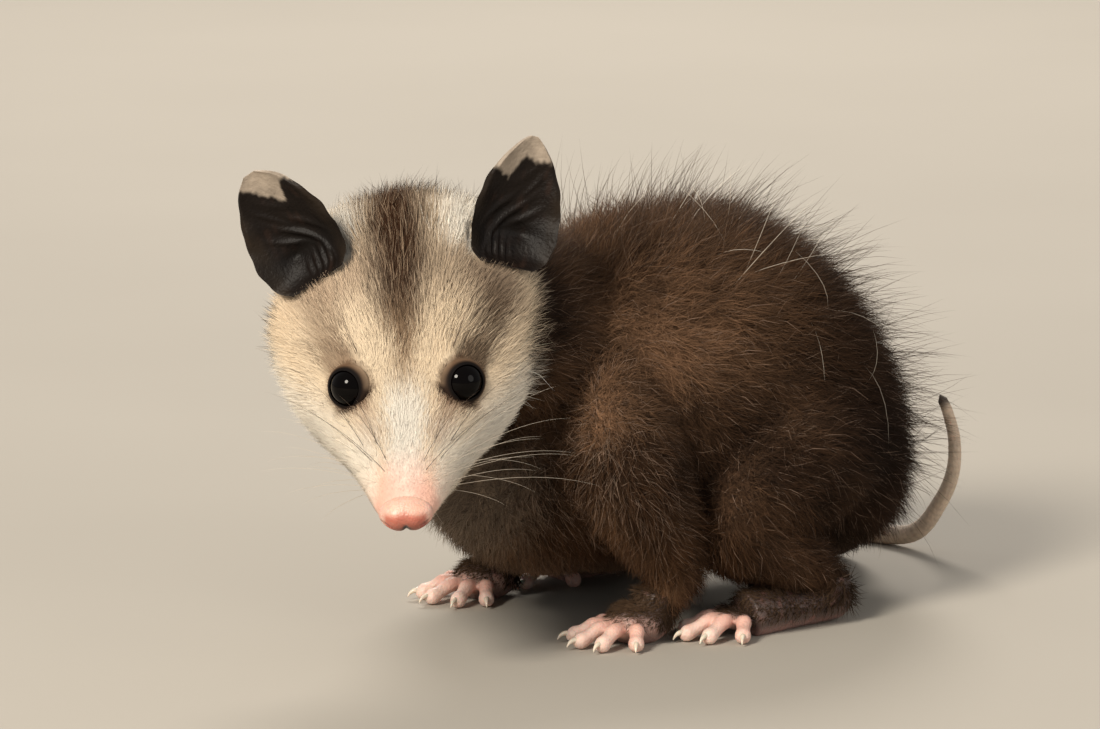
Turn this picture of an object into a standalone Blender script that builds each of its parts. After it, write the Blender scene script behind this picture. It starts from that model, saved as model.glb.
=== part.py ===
"""A young opossum crouching on four feet, its head turned to its left and its tail folded on the floor.

Sizes are life size, in metres, with +Z up and the floor at Z = 0. The body lies along X with the
chest towards -X and the animal's left towards -Y. Each sub-part is one named object. Stations and
places are written in millimetres and scaled by MM, because that is how such an animal is measured.
"""

import math
import random
from itertools import accumulate

import bmesh
import bpy
from mathutils import Matrix, Vector
from mathutils.bvhtree import BVHTree

MM = 0.001
GAP = 0.3
SEED = 1
UP = Vector((0.0, 0.0, 1.0))

# The coat's core stands this far over the skin. Its locks reach about twice as far.
CORE_DEPTH = 4.5

# The torso's skin, front to back: x, half width, height of its widest line, rise above, drop below.
TORSO = (
    (-51, 9, 33, 8, 9),
    (-46, 17, 35, 17, 17),
    (-36, 23, 38, 27, 26),
    (-24, 27, 40, 34, 29),
    (-10, 29.5, 41, 38, 31),
    (6, 31, 41, 39, 32),
    (20, 31.5, 39, 38, 31),
    (32, 30, 36, 34, 29),
    (42, 25, 31, 27, 24),
    (49, 15, 27, 16, 17),
    (51.5, 7, 26, 8, 9),
)

# The neck from between the shoulders to the back of the skull: x, y, z, half width, rise, drop.
NECK = (
    (-12, 0, 44, 16, 20, 20),
    (-24, 0, 51, 22, 25, 24),
    (-36, -1, 57, 23.5, 25, 23),
    (-48, -3, 63, 22.5, 23, 21),
    (-57, -6, 67, 21, 21, 18),
    (-66, -9, 71, 12, 13, 10),
)
NECK_LEAN = (-0.88, -0.08, 0.46)
NECK_CUT = (-38, -1, 58)

# Each limb as a tube: x, distance from the middle, z, radius, with the coat's core on it.
FORELEG = (
    (-24, 12, 58, 5),
    (-26, 18, 53, 11.5),
    (-27, 23, 45, 14.5),
    (-27, 26, 35, 15),
    (-21, 29, 23, 12),
    (-17, 29.5, 14, 8.5),
    (-19, 28.5, 8, 6),
    (-21, 28, 4, 5),
)
HINDLEG = (
    (38, 9, 46, 8),
    (34, 14, 42, 14.5),
    (28, 19, 37, 18),
    (15, 24, 33, 19.5),
    (-2, 29.5, 23, 14.5),
    (4, 31, 16, 11.5),
    (16, 32.5, 10, 8.5),
    (21, 33, 5, 7),
)
LIMB_MARGIN = 3.5
ANKLE_HEIGHT = 9.0

# A forefoot's palm and its fingers, inner to outer: x and distance from the middle of each tip.
WRIST = (-20, 28, 8.7, 4.6)
PALM = (-24.5, 27.5, 3.8)
PALM_RADII = (6.8, 6.0, 4.7)
FINGER_TIPS = ((-30.5, 18.5), (-36, 21), (-38.5, 27), (-37, 32.5), (-31, 36))
HEEL = (20.5, 33, 8.7, 5.2)
SOLE = ((24.5, 33, 4.4, 2.6), (21.5, 33, 4.6, 4.6), (12, 33.6, 4.0, 4.4), (2, 34, 3.9, 5.0), (-2, 34, 3.6, 5.2))
TOE_TIPS = ((-4, 24.5), (-13.5, 28.5), (-16.5, 33.5), (-14.5, 38.5), (-8.5, 42))

# The head's own frame starts midway between the eyes: n towards the nose, l to its left, t up.
HEAD_ORIGIN = (-77.7, -22.3, 57.9)
HEAD_HEADING = math.radians(234)
HEAD_PITCH = math.radians(32)
HEAD_ROLL = math.radians(4)

# The head with its short fur, nose to nape: n, half width, widest line, rise, drop. Ahead of the
# cheeks it ends at the line of the mouth.
HEAD = (
    (30, 5.0, -7.4, 3.2, 3.2),
    (26, 7.2, -7.8, 4.8, 4.0),
    (20, 9.7, -8.6, 7.0, 4.2),
    (14, 12.6, -9.4, 9.6, 4.2),
    (8, 16.1, -10.0, 12.7, 5.8),
    (2, 19.9, -9.6, 15.6, 9.6),
    (-5, 23.8, -8.0, 18.2, 12.2),
    (-12, 26.4, -6.2, 20.2, 13.6),
    (-20, 28.2, -4.2, 22.0, 14.2),
    (-28, 27.2, -2.4, 22.6, 13.6),
    (-35, 23.0, -1.0, 20.5, 12.0),
    (-41, 14.5, 0.0, 14.5, 9.0),
)
# The cut from the nape to the throat starts here and leans forward below.
HEAD_CUT = (-33, 0, 2)
HEAD_CUT_LEAN = math.radians(30)
HEAD_ZONE = ((0, -45, -60), (90, 31, 70))

# The lower jaw from its tip into the cheeks: n, half width, widest line, rise, drop.
JAW = (
    (25.8, 1.8, -13.6, 0.9, 0.9),
    (24.5, 4.0, -13.8, 1.4, 1.9),
    (19, 6.2, -14.4, 2.4, 2.6),
    (12, 9.0, -15.2, 3.4, 3.4),
    (5, 11.6, -16.2, 4.0, 4.2),
    (-3, 12.5, -17.0, 4.0, 4.4),
)
LIP_FROM, LIP_TO = 28.0, 5.0
LIP_ANGLE = math.radians(-52)
LIP_RADIUS = 0.8

EYE_PLACE = (0.8, 11.0, 1.2)
EYE_RADIUS = 4.3
EYE_LOOK = (0.66, 0.54, 0.52)
LID_RADIUS = 3.75
LID_FORWARD = 2.2
LID_THICKNESS = 0.8

NOSE_PLACE = (30.4, 0.0, -6.9)
NOSE_HALF_SIZES = (3.0, 5.3, 3.4)
NOSTRIL_PLACE = (32.5, 3.0, -8.2)
NOSTRIL_RADII = (1.6, 0.9, 0.9)

# Each ear in the head's frame: its root, the way it stands, the way it opens and its length. Then,
# along it: share of the length, half width, and how deep the cup lies behind its rim.
LEFT_EAR = (
    (-22.6, 20.7, 11.6), (-0.641, 0.261, 0.722), (0.70, 0.38, 0.60), 26.4,
    ((-0.03, 5.5, 0.6), (0.06, 8.2, 3.4), (0.20, 9.0, 4.6), (0.34, 9.2, 4.6), (0.47, 8.8, 4.0), (0.60, 8.0, 3.2),
     (0.75, 6.3, 2.4), (0.87, 4.2, 1.5), (0.95, 2.4, 0.8), (1.0, 0.8, 0.3)),
)
RIGHT_EAR = (
    (-19.7, -17.8, 12.7), (-0.546, -0.503, 0.670), (0.70, -0.38, 0.60), 24.8,
    ((-0.03, 6.5, 0.6), (0.06, 9.0, 3.4), (0.20, 10.1, 4.8), (0.37, 10.2, 4.8), (0.50, 9.6, 4.2), (0.62, 8.7, 3.4),
     (0.74, 7.4, 2.6), (0.84, 6.0, 1.8), (0.93, 4.0, 1.0), (1.0, 1.6, 0.3)),
)
EAR_THICKNESS = 1.1

# The tail's middle line and radius, from the rump to the tip.
TAIL = (
    (46, 3, 21, 6.6), (55, 8, 12, 5.8), (60, 19, 5.2, 4.9), (57.5, 32, 4.1, 4.2), (49, 42, 3.7, 3.8),
    (42, 51, 3.4, 3.5), (46, 59.5, 3.1, 3.2), (57, 60, 2.8, 2.9), (67.5, 51, 2.6, 2.7), (75, 39, 2.4, 2.5),
    (79, 25, 2.2, 2.3), (80.5, 14, 4.6, 2.1), (80.5, 7, 12, 1.9), (79.5, 3.5, 21, 1.7), (81.5, 3.5, 30, 1.4),
)
TAIL_NODES = (("tail_root", 0.0, 0.13), ("tail_base", 0.13, 0.29), ("tail_bend", 0.29, 0.41),
              ("tail_middle", 0.41, 0.62), ("tail_end", 0.62, 0.85), ("tail_tip", 0.85, 1.0))


# The coat's locks: how far apart their roots are, and each one's size before it varies.
ROOT_SPACING = 10.5
ROOT_LOWEST = 9.0
LOCK_LOWEST = 1.0
LOCK_LENGTH = 21.0
LOCK_WIDTH = 11.5
# Along a lock: share of its length, share of its width, height over the core, thickness.
LOCK_STATIONS = ((-0.10, 0.60, -1.6, 1.2), (0.24, 1.0, 0.9, 2.0), (0.62, 0.78, 3.4, 1.6))
LOCK_TIP = (1.0, 6.0)
# The lie of the coat on each node: mostly back along the body, and down on the flanks and legs.
LIE = {
    "torso": (0.85, 0.0, -0.50),
    "neck": (0.80, 0.05, -0.50),
    "foreleg": (0.35, 0.0, -0.90),
    "hindleg": (0.60, 0.0, -0.75),
}


def millimetres(*values):
    """A point or size written in millimetres, as a vector in metres."""
    return Vector(values) * MM


def head_frame():
    """The matrix that takes the head's own n, l, t into the layout."""
    flat = math.cos(HEAD_PITCH)
    forward = Vector((math.cos(HEAD_HEADING) * flat, math.sin(HEAD_HEADING) * flat, -math.sin(HEAD_PITCH)))
    level_left = Vector((-math.sin(HEAD_HEADING), math.cos(HEAD_HEADING), 0.0))
    level_top = forward.cross(level_left)
    left = level_left * math.cos(HEAD_ROLL) + level_top * math.sin(HEAD_ROLL)
    top = level_top * math.cos(HEAD_ROLL) - level_left * math.sin(HEAD_ROLL)
    turn = Matrix((forward, left, top)).transposed().to_4x4()
    return Matrix.Translation(millimetres(*HEAD_ORIGIN)) @ turn


def clear_scene():
    for old in list(bpy.data.objects):
        bpy.data.objects.remove(old, do_unlink=True)


def collection(name):
    made = bpy.data.collections.new(name)
    bpy.context.scene.collection.children.link(made)
    return made


def material(name, colour, roughness):
    made = bpy.data.materials.new(name)
    made.use_nodes = True
    shader = made.node_tree.nodes["Principled BSDF"]
    shader.inputs["Base Color"].default_value = (*colour, 1.0)
    shader.inputs["Roughness"].default_value = roughness
    made.diffuse_color = (*colour, 1.0)
    return made


def object_from(bm, name, home):
    """A mesh object with outward faces, linked to a collection."""
    bm.normal_update()
    bmesh.ops.recalc_face_normals(bm, faces=bm.faces)
    mesh = bpy.data.meshes.new(name)
    bm.to_mesh(mesh)
    bm.free()
    made = bpy.data.objects.new(name, mesh)
    made.display_type = "WIRE"
    made.hide_render = True
    home.objects.link(made)
    return made


def eased(stations, steps):
    """The stations with a smooth curve between each two, so that a loft runs evenly through them."""
    points = [stations[0], *stations, stations[-1]]
    made = []
    for before, start, end, after in zip(points, points[1:], points[2:], points[3:]):
        for step in range(steps):
            t = step / steps
            made.append(tuple(
                0.5 * (2 * b + (c - a) * t + (2 * a - 5 * b + 4 * c - d) * t ** 2 + (3 * b - a - 3 * c + d) * t ** 3)
                for a, b, c, d in zip(before, start, end, after)
            ))
    made.append(tuple(stations[-1]))
    return made


def oval(centre, across, up, half_width, rise, drop, sides):
    """One closed section, an oval with its own height above and below its widest line."""
    points = []
    for i in range(sides):
        angle = 2 * math.pi * i / sides
        height = rise if math.sin(angle) > 0 else drop
        points.append(centre + across * (half_width * math.cos(angle)) + up * (height * math.sin(angle)))
    return points


def loft(name, sections, home):
    """A closed body through sections that have the same number of points."""
    bm = bmesh.new()
    loops = [[bm.verts.new(point) for point in section] for section in sections]
    for first, second in zip(loops, loops[1:]):
        for i, corner in enumerate(first):
            j = (i + 1) % len(first)
            bm.faces.new((corner, first[j], second[j], second[i]))
    bm.faces.new(list(reversed(loops[0])))
    bm.faces.new(loops[-1])
    return object_from(bm, name, home)


def tube(name, run, home, sides=12, frame=None, ways=None):
    """A round tube along a run of points with their radii, in millimetres."""
    run = [((frame or Matrix.Identity(4)) @ millimetres(*s[:3]), s[3] * MM) for s in run]
    sections = []
    for i, (centre, radius) in enumerate(run):
        along = ways[i] if ways else (run[min(i + 1, len(run) - 1)][0] - run[max(i - 1, 0)][0]).normalized()
        across = along.cross(UP)
        across = across.normalized() if across.length > 0.05 else Vector((0.0, 1.0, 0.0))
        sections.append(oval(centre, across, across.cross(along), radius, radius, radius, sides))
    return loft(name, sections, home)


def ball(name, centre, radii, home, frame=None, segments=24):
    """An ellipsoid in the layout, or in the head's frame where one is given."""
    bm = bmesh.new()
    bmesh.ops.create_uvsphere(bm, u_segments=segments, v_segments=segments // 2, radius=1.0)
    place = Matrix.Translation(millimetres(*centre)) @ Matrix.Diagonal((*millimetres(*radii), 1.0))
    bm.transform((frame or Matrix.Identity(4)) @ place)
    return object_from(bm, name, home)


def box(name, low, high, home, frame=None, grow=0.0):
    """A block between two corners, larger on every side by grow."""
    low, high = Vector(low) - Vector((grow,) * 3), Vector(high) + Vector((grow,) * 3)
    bm = bmesh.new()
    bmesh.ops.create_cube(bm, size=1.0)
    place = Matrix.Translation((low + high) / 2 * MM) @ Matrix.Diagonal((*((high - low) * MM), 1.0))
    bm.transform((frame or Matrix.Identity(4)) @ place)
    return object_from(bm, name, home)


def applied(obj):
    """The object with its modifiers made real."""
    bpy.context.view_layer.update()
    graph = bpy.context.evaluated_depsgraph_get()
    mesh = bpy.data.meshes.new_from_object(obj.evaluated_get(graph))
    obj.modifiers.clear()
    obj.data = mesh
    return obj


def thinned(obj, triangles):
    """The object with about so many triangles, fewest where it is flattest."""
    faces = sum(len(face.vertices) - 2 for face in obj.data.polygons)
    if faces <= triangles:
        return obj
    obj.modifiers.new("thin", "DECIMATE").ratio = triangles / faces
    return applied(obj)


def fused(name, pieces, voxel, triangles, home, rounds=6):
    """Pieces melted into one smooth closed body."""
    bm = bmesh.new()
    for piece in pieces:
        bm.from_mesh(piece.data)
    made = object_from(bm, name, home)
    melt = made.modifiers.new("melt", "REMESH")
    melt.mode = "VOXEL"
    melt.voxel_size = voxel * MM
    soften = made.modifiers.new("soften", "SMOOTH")
    soften.factor = 0.5
    soften.iterations = rounds
    return largest_body(thinned(applied(made), triangles))


def combined(obj, operation, *others, solver="EXACT"):
    """The object joined with, cut by or kept inside each of the others."""
    for other in others:
        step = obj.modifiers.new(operation.lower(), "BOOLEAN")
        step.operation = operation
        step.object = other
        step.solver = solver
    return largest_body(applied(obj))


def largest_body(obj):
    """The object with only its largest closed surface, so that no crumb of a cut is left."""
    bm = bmesh.new()
    bm.from_mesh(obj.data)
    left, bodies = set(bm.faces), []
    while left:
        body, edge = [], [left.pop()]
        while edge:
            face = edge.pop()
            body.append(face)
            for near in (other for line in face.edges for other in line.link_faces):
                if near in left:
                    left.discard(near)
                    edge.append(near)
        bodies.append(body)
    keep = set(max(bodies, key=len))
    bmesh.ops.delete(bm, geom=[face for face in bm.faces if face not in keep], context="FACES")
    bm.to_mesh(obj.data)
    bm.free()
    return obj


def copy_of(obj, name, home, swell=0.0):
    """A copy whose surface stands out by swell millimetres."""
    made = bpy.data.objects.new(name, obj.data.copy())
    made.hide_render = True
    home.objects.link(made)
    if swell:
        moves = [vert.co + vert.normal * swell * MM for vert in made.data.vertices]
        for vert, place in zip(made.data.vertices, moves):
            vert.co = place
    return made


def torso_core(home):
    sections = []
    for x, wide, level, rise, drop in eased(TORSO, 4):
        sections.append(oval(millimetres(x, 0, level), Vector((0, -1, 0)), UP, (wide + CORE_DEPTH) * MM,
                             (rise + CORE_DEPTH) * MM, (drop + CORE_DEPTH * 0.5) * MM, 32))
    return loft("torso_core", sections, home)


def neck_core(home):
    along = Vector(NECK_LEAN).normalized()
    side = UP.cross(along).normalized()
    return loft("neck_core", [
        oval(millimetres(x, y, z), side, along.cross(side), w * MM, r * MM, d * MM, 24)
        for x, y, z, w, r, d in eased(NECK, 3)
    ], home)


def head_loft(name, stations, frame, home, steps=3):
    return loft(name, [
        [frame @ p for p in oval(millimetres(n, 0, level), Vector((0, 1, 0)), UP, w * MM, r * MM, d * MM, 24)]
        for n, w, level, r, d in eased(stations, steps)
    ], home)


def limb_run(stations, side, grow=0.0):
    return [(x, side * y, z, r + grow) for x, y, z, r in eased(stations, 4)]


def take(rest, name, home, zone, grown_zone):
    """Splits a body in two along a zone, with a thin gap between the part taken and the rest."""
    part = combined(copy_of(rest, name, home), "INTERSECT", zone)
    return part, combined(rest, "DIFFERENCE", grown_zone)


def ear(name, root, stands, opens, length, stations, frame, home):
    """One thin ear, cupped behind its rim and closed below."""
    stands = (frame.to_3x3() @ Vector(stands)).normalized()
    opens = frame.to_3x3() @ Vector(opens)
    opens = (opens - stands * opens.dot(stands)).normalized()
    across = stands.cross(opens)
    root = frame @ millimetres(*root)
    bm = bmesh.new()
    rows = []
    for share, half_width, depth in stations:
        row = []
        for aside in (i / 4 - 1 for i in range(9)):
            out = across * (half_width * aside) - opens * (depth * (1 - aside ** 2))
            row.append(bm.verts.new(root + (stands * (length * share) + out) * MM))
        rows.append(row)
    for low, high in zip(rows, rows[1:]):
        for i in range(8):
            bm.faces.new((low[i], low[i + 1], high[i + 1], high[i]))
    made = object_from(bm, name, home)
    thick = made.modifiers.new("thick", "SOLIDIFY")
    thick.thickness = EAR_THICKNESS * MM
    thick.offset = 0.0
    return applied(made)


def lid_ring(name, side, frame, home):
    """The rim of the lids round one eye."""
    look = Vector((EYE_LOOK[0], side * EYE_LOOK[1], EYE_LOOK[2])).normalized()
    across = look.cross(UP).normalized()
    up = across.cross(look)
    centre = Vector((EYE_PLACE[0], side * EYE_PLACE[1], EYE_PLACE[2])) + look * LID_FORWARD
    bm = bmesh.new()
    turns, sides = 20, 6
    rings = []
    for i in range(turns):
        angle = 2 * math.pi * i / turns
        out = across * math.cos(angle) + up * math.sin(angle)
        rings.append([
            bm.verts.new(frame @ ((centre + out * (LID_RADIUS + LID_THICKNESS * math.cos(b))
                                   + look * (LID_THICKNESS * math.sin(b))) * MM))
            for b in (2 * math.pi * j / sides for j in range(sides))
        ])
    for i, ring in enumerate(rings):
        after = rings[(i + 1) % turns]
        for j in range(sides):
            k = (j + 1) % sides
            bm.faces.new((ring[j], ring[k], after[k], after[j]))
    return object_from(bm, name, home)


def foot(name, side, pads, stub, tips, knuckle_back, home, shop, limits):
    """One foot with its toes and claws, its sole flat on the floor. The hind foot's thumb has no claw."""
    if len(pads) > 1:
        pieces = [tube("pad", [(x, side * y, z, r) for x, y, z, r in pads], shop)]
    else:
        pieces = [ball("palm", (PALM[0], side * PALM[1], PALM[2]), PALM_RADII, shop)]
    x, y, z, r = stub
    pieces.append(tube("stub", [(x, side * y, z, r), (x - 1.5, side * y, z - 3.5, r)], shop))
    palm = Vector((pads[-1][0], side * pads[-1][1], 3.6))
    claws = []
    for number, (tip_x, tip_y) in enumerate(tips):
        tip = Vector((tip_x, side * tip_y, 1.5))
        way = (tip - palm).normalized()
        start = palm + way * knuckle_back
        bend = start.lerp(tip, 0.5) + Vector((0, 0, 1.5))
        pieces.append(tube("toe", [(*start, 1.9), (*bend, 1.75), (*tip, 1.45), (*(tip + way * 0.9), 0.8)], shop, 8))
        if number or tips is not TOE_TIPS:
            claws.append(tube("claw", [(*(tip + way * 0.2), 0.75), (*(tip + way * 1.8 + Vector((0, 0, 0.15))), 0.5),
                                       (*(tip + way * 3.0 - Vector((0, 0, 0.7))), 0.12)], shop, 5))
    made = fused(name, pieces, 0.7, 260, home, 2)
    return combined(combined(made, "UNION", *claws), "DIFFERENCE", *limits)


def tail_node(name, start, end, home, floor):
    """One length of the tail, cut square across."""
    run = [Vector(station) for station in eased(TAIL, 8)]
    lengths = [0.0]
    for before, after in zip(run, run[1:]):
        lengths.append(lengths[-1] + (after - before).xyz.length)
    total = lengths[-1]

    def station_at(place):
        place = min(max(place, 0.0), total)
        k = next(j for j in range(len(run) - 1) if place <= lengths[j + 1])
        return run[k].lerp(run[k + 1], (place - lengths[k]) / (lengths[k + 1] - lengths[k]))

    first = start * total + (GAP / 2 if start else 0.0)
    last = end * total - (GAP / 2 if end < 1 else 0.0)
    count = max(5, round((last - first) / 4.5))
    places = [first + (last - first) * i / count for i in range(count + 1)]
    stations = [station_at(place) for place in places]
    ways = [(station_at(place + 1.0) - station_at(place - 1.0)).xyz.normalized() for place in places]
    if end == 1:
        stations.append(Vector((*(stations[-1].xyz + ways[-1] * 0.9), stations[-1].w * 0.45)))
        ways.append(ways[-1])
    return combined(tube(name, stations, home, 10, None, ways), "DIFFERENCE", floor)


def tree_of(obj, swell=0.0):
    """The object's surface as a tree for finding what is near it or crosses it."""
    bm = bmesh.new()
    bm.from_mesh(obj.data)
    for vert, normal in [(vert, vert.normal.copy()) for vert in bm.verts]:
        vert.co += normal * swell * MM
    tree = BVHTree.FromBMesh(bm)
    bm.free()
    return tree


def roots(body, rng):
    """Places spread evenly over the body's surface, not under its belly."""
    mesh = body.data
    mesh.calc_loop_triangles()
    faces = [face for face in mesh.loop_triangles if face.normal.z > -0.45]
    chosen = []
    for face in rng.choices(faces, cum_weights=list(accumulate(face.area for face in faces)), k=5000):
        a, b, c = (mesh.vertices[i].co for i in face.vertices)
        u, v = rng.random(), rng.random()
        if u + v > 1:
            u, v = 1 - u, 1 - v
        place = a + (b - a) * u + (c - a) * v
        clear = all((place - other).length > ROOT_SPACING * MM for other, _ in chosen)
        if clear and place.z > ROOT_LOWEST * MM:
            chosen.append((place, Vector(face.normal)))
    return chosen


def lock(body, place, facing, lie, length, width, home):
    """One flat tapered lock, rooted in the body, that follows its surface and bends out to its tip."""
    way = (lie - facing * lie.dot(facing)).normalized()
    bm = bmesh.new()
    foot, travelled, rings = place, 0.0, []
    for share, wide, height, thick in (*LOCK_STATIONS, (LOCK_TIP[0], 0.0, LOCK_TIP[1], 0.0)):
        nearest, normal, _, _ = body.find_nearest(foot + way * ((share - travelled) * length * MM))
        way = (way - normal * way.dot(normal)).normalized()
        foot, travelled = nearest, share
        centre = foot + normal * height * MM
        if not wide:
            tip = bm.verts.new(centre)
            break
        across = way.cross(normal) * (wide * width / 2 * MM)
        rings.append([bm.verts.new(centre + offset) for offset in (across, normal * thick * MM, -across)])
    bm.faces.new(rings[0])
    for low, high in zip(rings, rings[1:]):
        for i in range(3):
            bm.faces.new((low[i], low[(i + 1) % 3], high[(i + 1) % 3], high[i]))
    for i in range(3):
        bm.faces.new((rings[-1][i], rings[-1][(i + 1) % 3], tip))
    return object_from(bm, "lock", home)


def pinches(obj):
    """Where the surface touches itself along an edge."""
    bm = bmesh.new()
    bm.from_mesh(obj.data)
    bmesh.ops.dissolve_degenerate(bm, dist=0.004 * MM, edges=bm.edges)
    bmesh.ops.remove_doubles(bm, verts=bm.verts, dist=0.004 * MM)
    places = [(edge.verts[0].co + edge.verts[1].co) / 2 for edge in bm.edges if len(edge.link_faces) != 2]
    bm.free()
    return places


def grow_coat(body, parts, furred, shop):
    """Grows each furred part's locks, shorter or nowhere where they would touch another part."""
    rng = random.Random(SEED)
    skin = tree_of(body)
    trees = {part.name: tree_of(part) for part in parts}
    coats = {part.name: collection(f"locks_{part.name}") for part in furred}
    for place, facing in roots(body, rng):
        owner = min(furred, key=lambda part: (trees[part.name].find_nearest(place)[0] - place).length)
        if (trees[owner.name].find_nearest(place)[0] - place).length > 0.2 * MM:
            continue
        lie = Vector(LIE[owner.name.split("_")[0]])
        lie.rotate(Matrix.Rotation(math.radians(rng.uniform(-14, 14)), 3, facing))
        length, width = LOCK_LENGTH * rng.uniform(0.85, 1.15), LOCK_WIDTH * rng.uniform(0.85, 1.1)
        for shift, size in ((0, 1.0), (0, 0.8), (-4, 0.8), (4, 0.7), (0, 0.6), (-4, 0.6)):
            made = lock(skin, place + lie * shift * MM, facing, lie, length * size, width * size, shop)
            shape = tree_of(made, GAP + 0.05)
            low = min(vert.co.z for vert in made.data.vertices) < LOCK_LOWEST * MM
            if not low and not any(shape.overlap(tree) for name, tree in trees.items() if name != owner.name):
                shop.objects.unlink(made)
                coats[owner.name].objects.link(made)
                break
            bpy.data.objects.remove(made, do_unlink=True)
    for part in furred:
        coat, core = coats[part.name], part.data
        pinched = [None]
        while pinched and coat.objects:
            part.data = core.copy()
            join = part.modifiers.new("coat", "BOOLEAN")
            join.operation = "UNION"
            join.operand_type = "COLLECTION"
            join.collection = coat
            join.solver = "MANIFOLD"
            pinched = pinches(largest_body(applied(part)))
            if pinched:
                worst = min(coat.objects, key=lambda piece: min(
                    (vert.co - pinched[0]).length for vert in piece.data.vertices))
                bpy.data.objects.remove(worst, do_unlink=True)
        for piece in list(coat.objects):
            bpy.data.objects.remove(piece, do_unlink=True)
        bpy.data.collections.remove(coat)


def centre_on_origin(parts):
    """Moves the whole animal so that its box stands on the origin, the box's bottom centre."""
    corners = [vert.co for part in parts for vert in part.data.vertices]
    low = Vector(tuple(min(c[i] for c in corners) for i in range(3)))
    high = Vector(tuple(max(c[i] for c in corners) for i in range(3)))
    shift = Matrix.Translation(Vector((-(low.x + high.x) / 2, -(low.y + high.y) / 2, -low.z)))
    for part in parts:
        part.data.transform(shift)


def main():
    clear_scene()
    home = collection("opossum")
    shop = collection("workshop")
    frame = head_frame()
    floor = box("floor", (-300, -300, -60), (300, 300, 0), shop)

    # The body and the head are each melted whole and then parted along their zones.
    head_form = head_loft("head_form", HEAD, frame, shop)
    neck_form = neck_core(shop)
    limbs = {
        (kind, side): tube("limb", limb_run(run, side), shop, 16)
        for kind, run in (("foreleg", FORELEG), ("hindleg", HINDLEG)) for side in (-1, 1)
    }
    rest = fused("torso", [torso_core(shop), neck_form, head_form, *limbs.values()], 1.5, 2400, home)
    body = copy_of(rest, "body", shop)
    head = fused("head", [head_form, neck_form], 0.9, 1800, home, 5)

    cut_frame = frame @ Matrix.Translation(millimetres(*HEAD_CUT)) @ Matrix.Rotation(-HEAD_CUT_LEAN, 4, "Y")
    head = combined(head, "INTERSECT", box("head_zone", *HEAD_ZONE, shop, cut_frame))
    rest = combined(rest, "DIFFERENCE", box("head_room", *HEAD_ZONE, shop, cut_frame, GAP))
    along = Vector(NECK_LEAN).normalized()
    side_way = UP.cross(along).normalized()
    neck_frame = Matrix.Translation(millimetres(*NECK_CUT)) @ Matrix(
        (along, side_way, along.cross(side_way))).transposed().to_4x4()
    zone = ((0, -40, -27), (70, 40, 60))
    neck, rest = take(rest, "neck", home, box("neck_zone", *zone, shop, neck_frame),
                      box("neck_room", *zone, shop, neck_frame, GAP))
    ankle = box("ankle", (-300, -300, -60), (300, 300, ANKLE_HEIGHT), shop)
    parts = [head, neck]
    for (kind, side), _ in sorted(limbs.items(), reverse=True):
        run = HINDLEG if kind == "hindleg" else FORELEG
        zone = fused("zone", [tube("limb_zone", limb_run(run, side, LIMB_MARGIN), shop, 16)], 2.0, 320, shop)
        leg, rest = take(rest, f"{kind}_{'left' if side < 0 else 'right'}", home, zone,
                         copy_of(zone, "limb_room", shop, GAP))
        parts.append(combined(leg, "DIFFERENCE", ankle))
    torso = combined(rest, "DIFFERENCE", floor)
    parts.append(torso)

    # The face: lids, lips and mouth, then the pockets that the eyes and the nose sit in.
    for side in (-1, 1):
        lip = [(n, side * wide * math.cos(LIP_ANGLE), level + drop * math.sin(LIP_ANGLE), LIP_RADIUS)
               for n, wide, level, _, drop in eased(HEAD, 3) if LIP_TO < n < LIP_FROM]
        combined(head, "UNION", lid_ring("lid", side, frame, shop), tube("lip", lip, shop, 6, frame), solver="MANIFOLD")
    for side, name in ((-1, "eye_right"), (1, "eye_left")):
        place = (EYE_PLACE[0], side * EYE_PLACE[1], EYE_PLACE[2])
        combined(head, "DIFFERENCE", ball("socket", place, (EYE_RADIUS + GAP,) * 3, shop, frame, 14))
        parts.append(ball(name, place, (EYE_RADIUS,) * 3, home, frame, 14))
    combined(head, "DIFFERENCE", ball("nose_room", NOSE_PLACE, [s + GAP for s in NOSE_HALF_SIZES], shop, frame, 16))
    nose = ball("nose", NOSE_PLACE, NOSE_HALF_SIZES, home, frame, 16)
    for side in (-1, 1):
        n, l, t = NOSTRIL_PLACE
        combined(nose, "DIFFERENCE", ball("nostril", (n, side * l, t), NOSTRIL_RADII, shop, frame, 10))
    parts.append(nose)
    head_room = copy_of(head, "head_swollen", shop, GAP)
    neck_room = copy_of(neck, "neck_swollen", shop, GAP)
    jaw = head_loft("lower_jaw", JAW, frame, home, 1)
    parts.append(combined(jaw, "DIFFERENCE", head_room, neck_room, solver="MANIFOLD"))
    for name, place in (("ear_left", LEFT_EAR), ("ear_right", RIGHT_EAR)):
        made = ear(name, *place, frame, home)
        parts.append(combined(made, "DIFFERENCE", head_room, neck_room, solver="MANIFOLD"))

    limits = (floor, box("above_ankle", (-300, -300, ANKLE_HEIGHT - GAP), (300, 300, 200), shop))
    for side, word in ((-1, "left"), (1, "right")):
        parts.append(foot(f"forefoot_{word}", side, ((*PALM, 5.0),), WRIST, FINGER_TIPS, 4.5, home, shop, limits))
        parts.append(foot(f"hindfoot_{word}", side, SOLE, HEEL, TOE_TIPS, 3.0, home, shop, limits))
    torso_room = copy_of(torso, "torso_swollen", shop, GAP)
    for name, start, end in TAIL_NODES:
        node = tail_node(name, start, end, home, floor)
        parts.append(combined(node, "DIFFERENCE", torso_room) if start == 0 else node)

    furred = [part for part in parts if part.name.split("_")[0] in LIE]
    grow_coat(body, parts, furred, shop)

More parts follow.
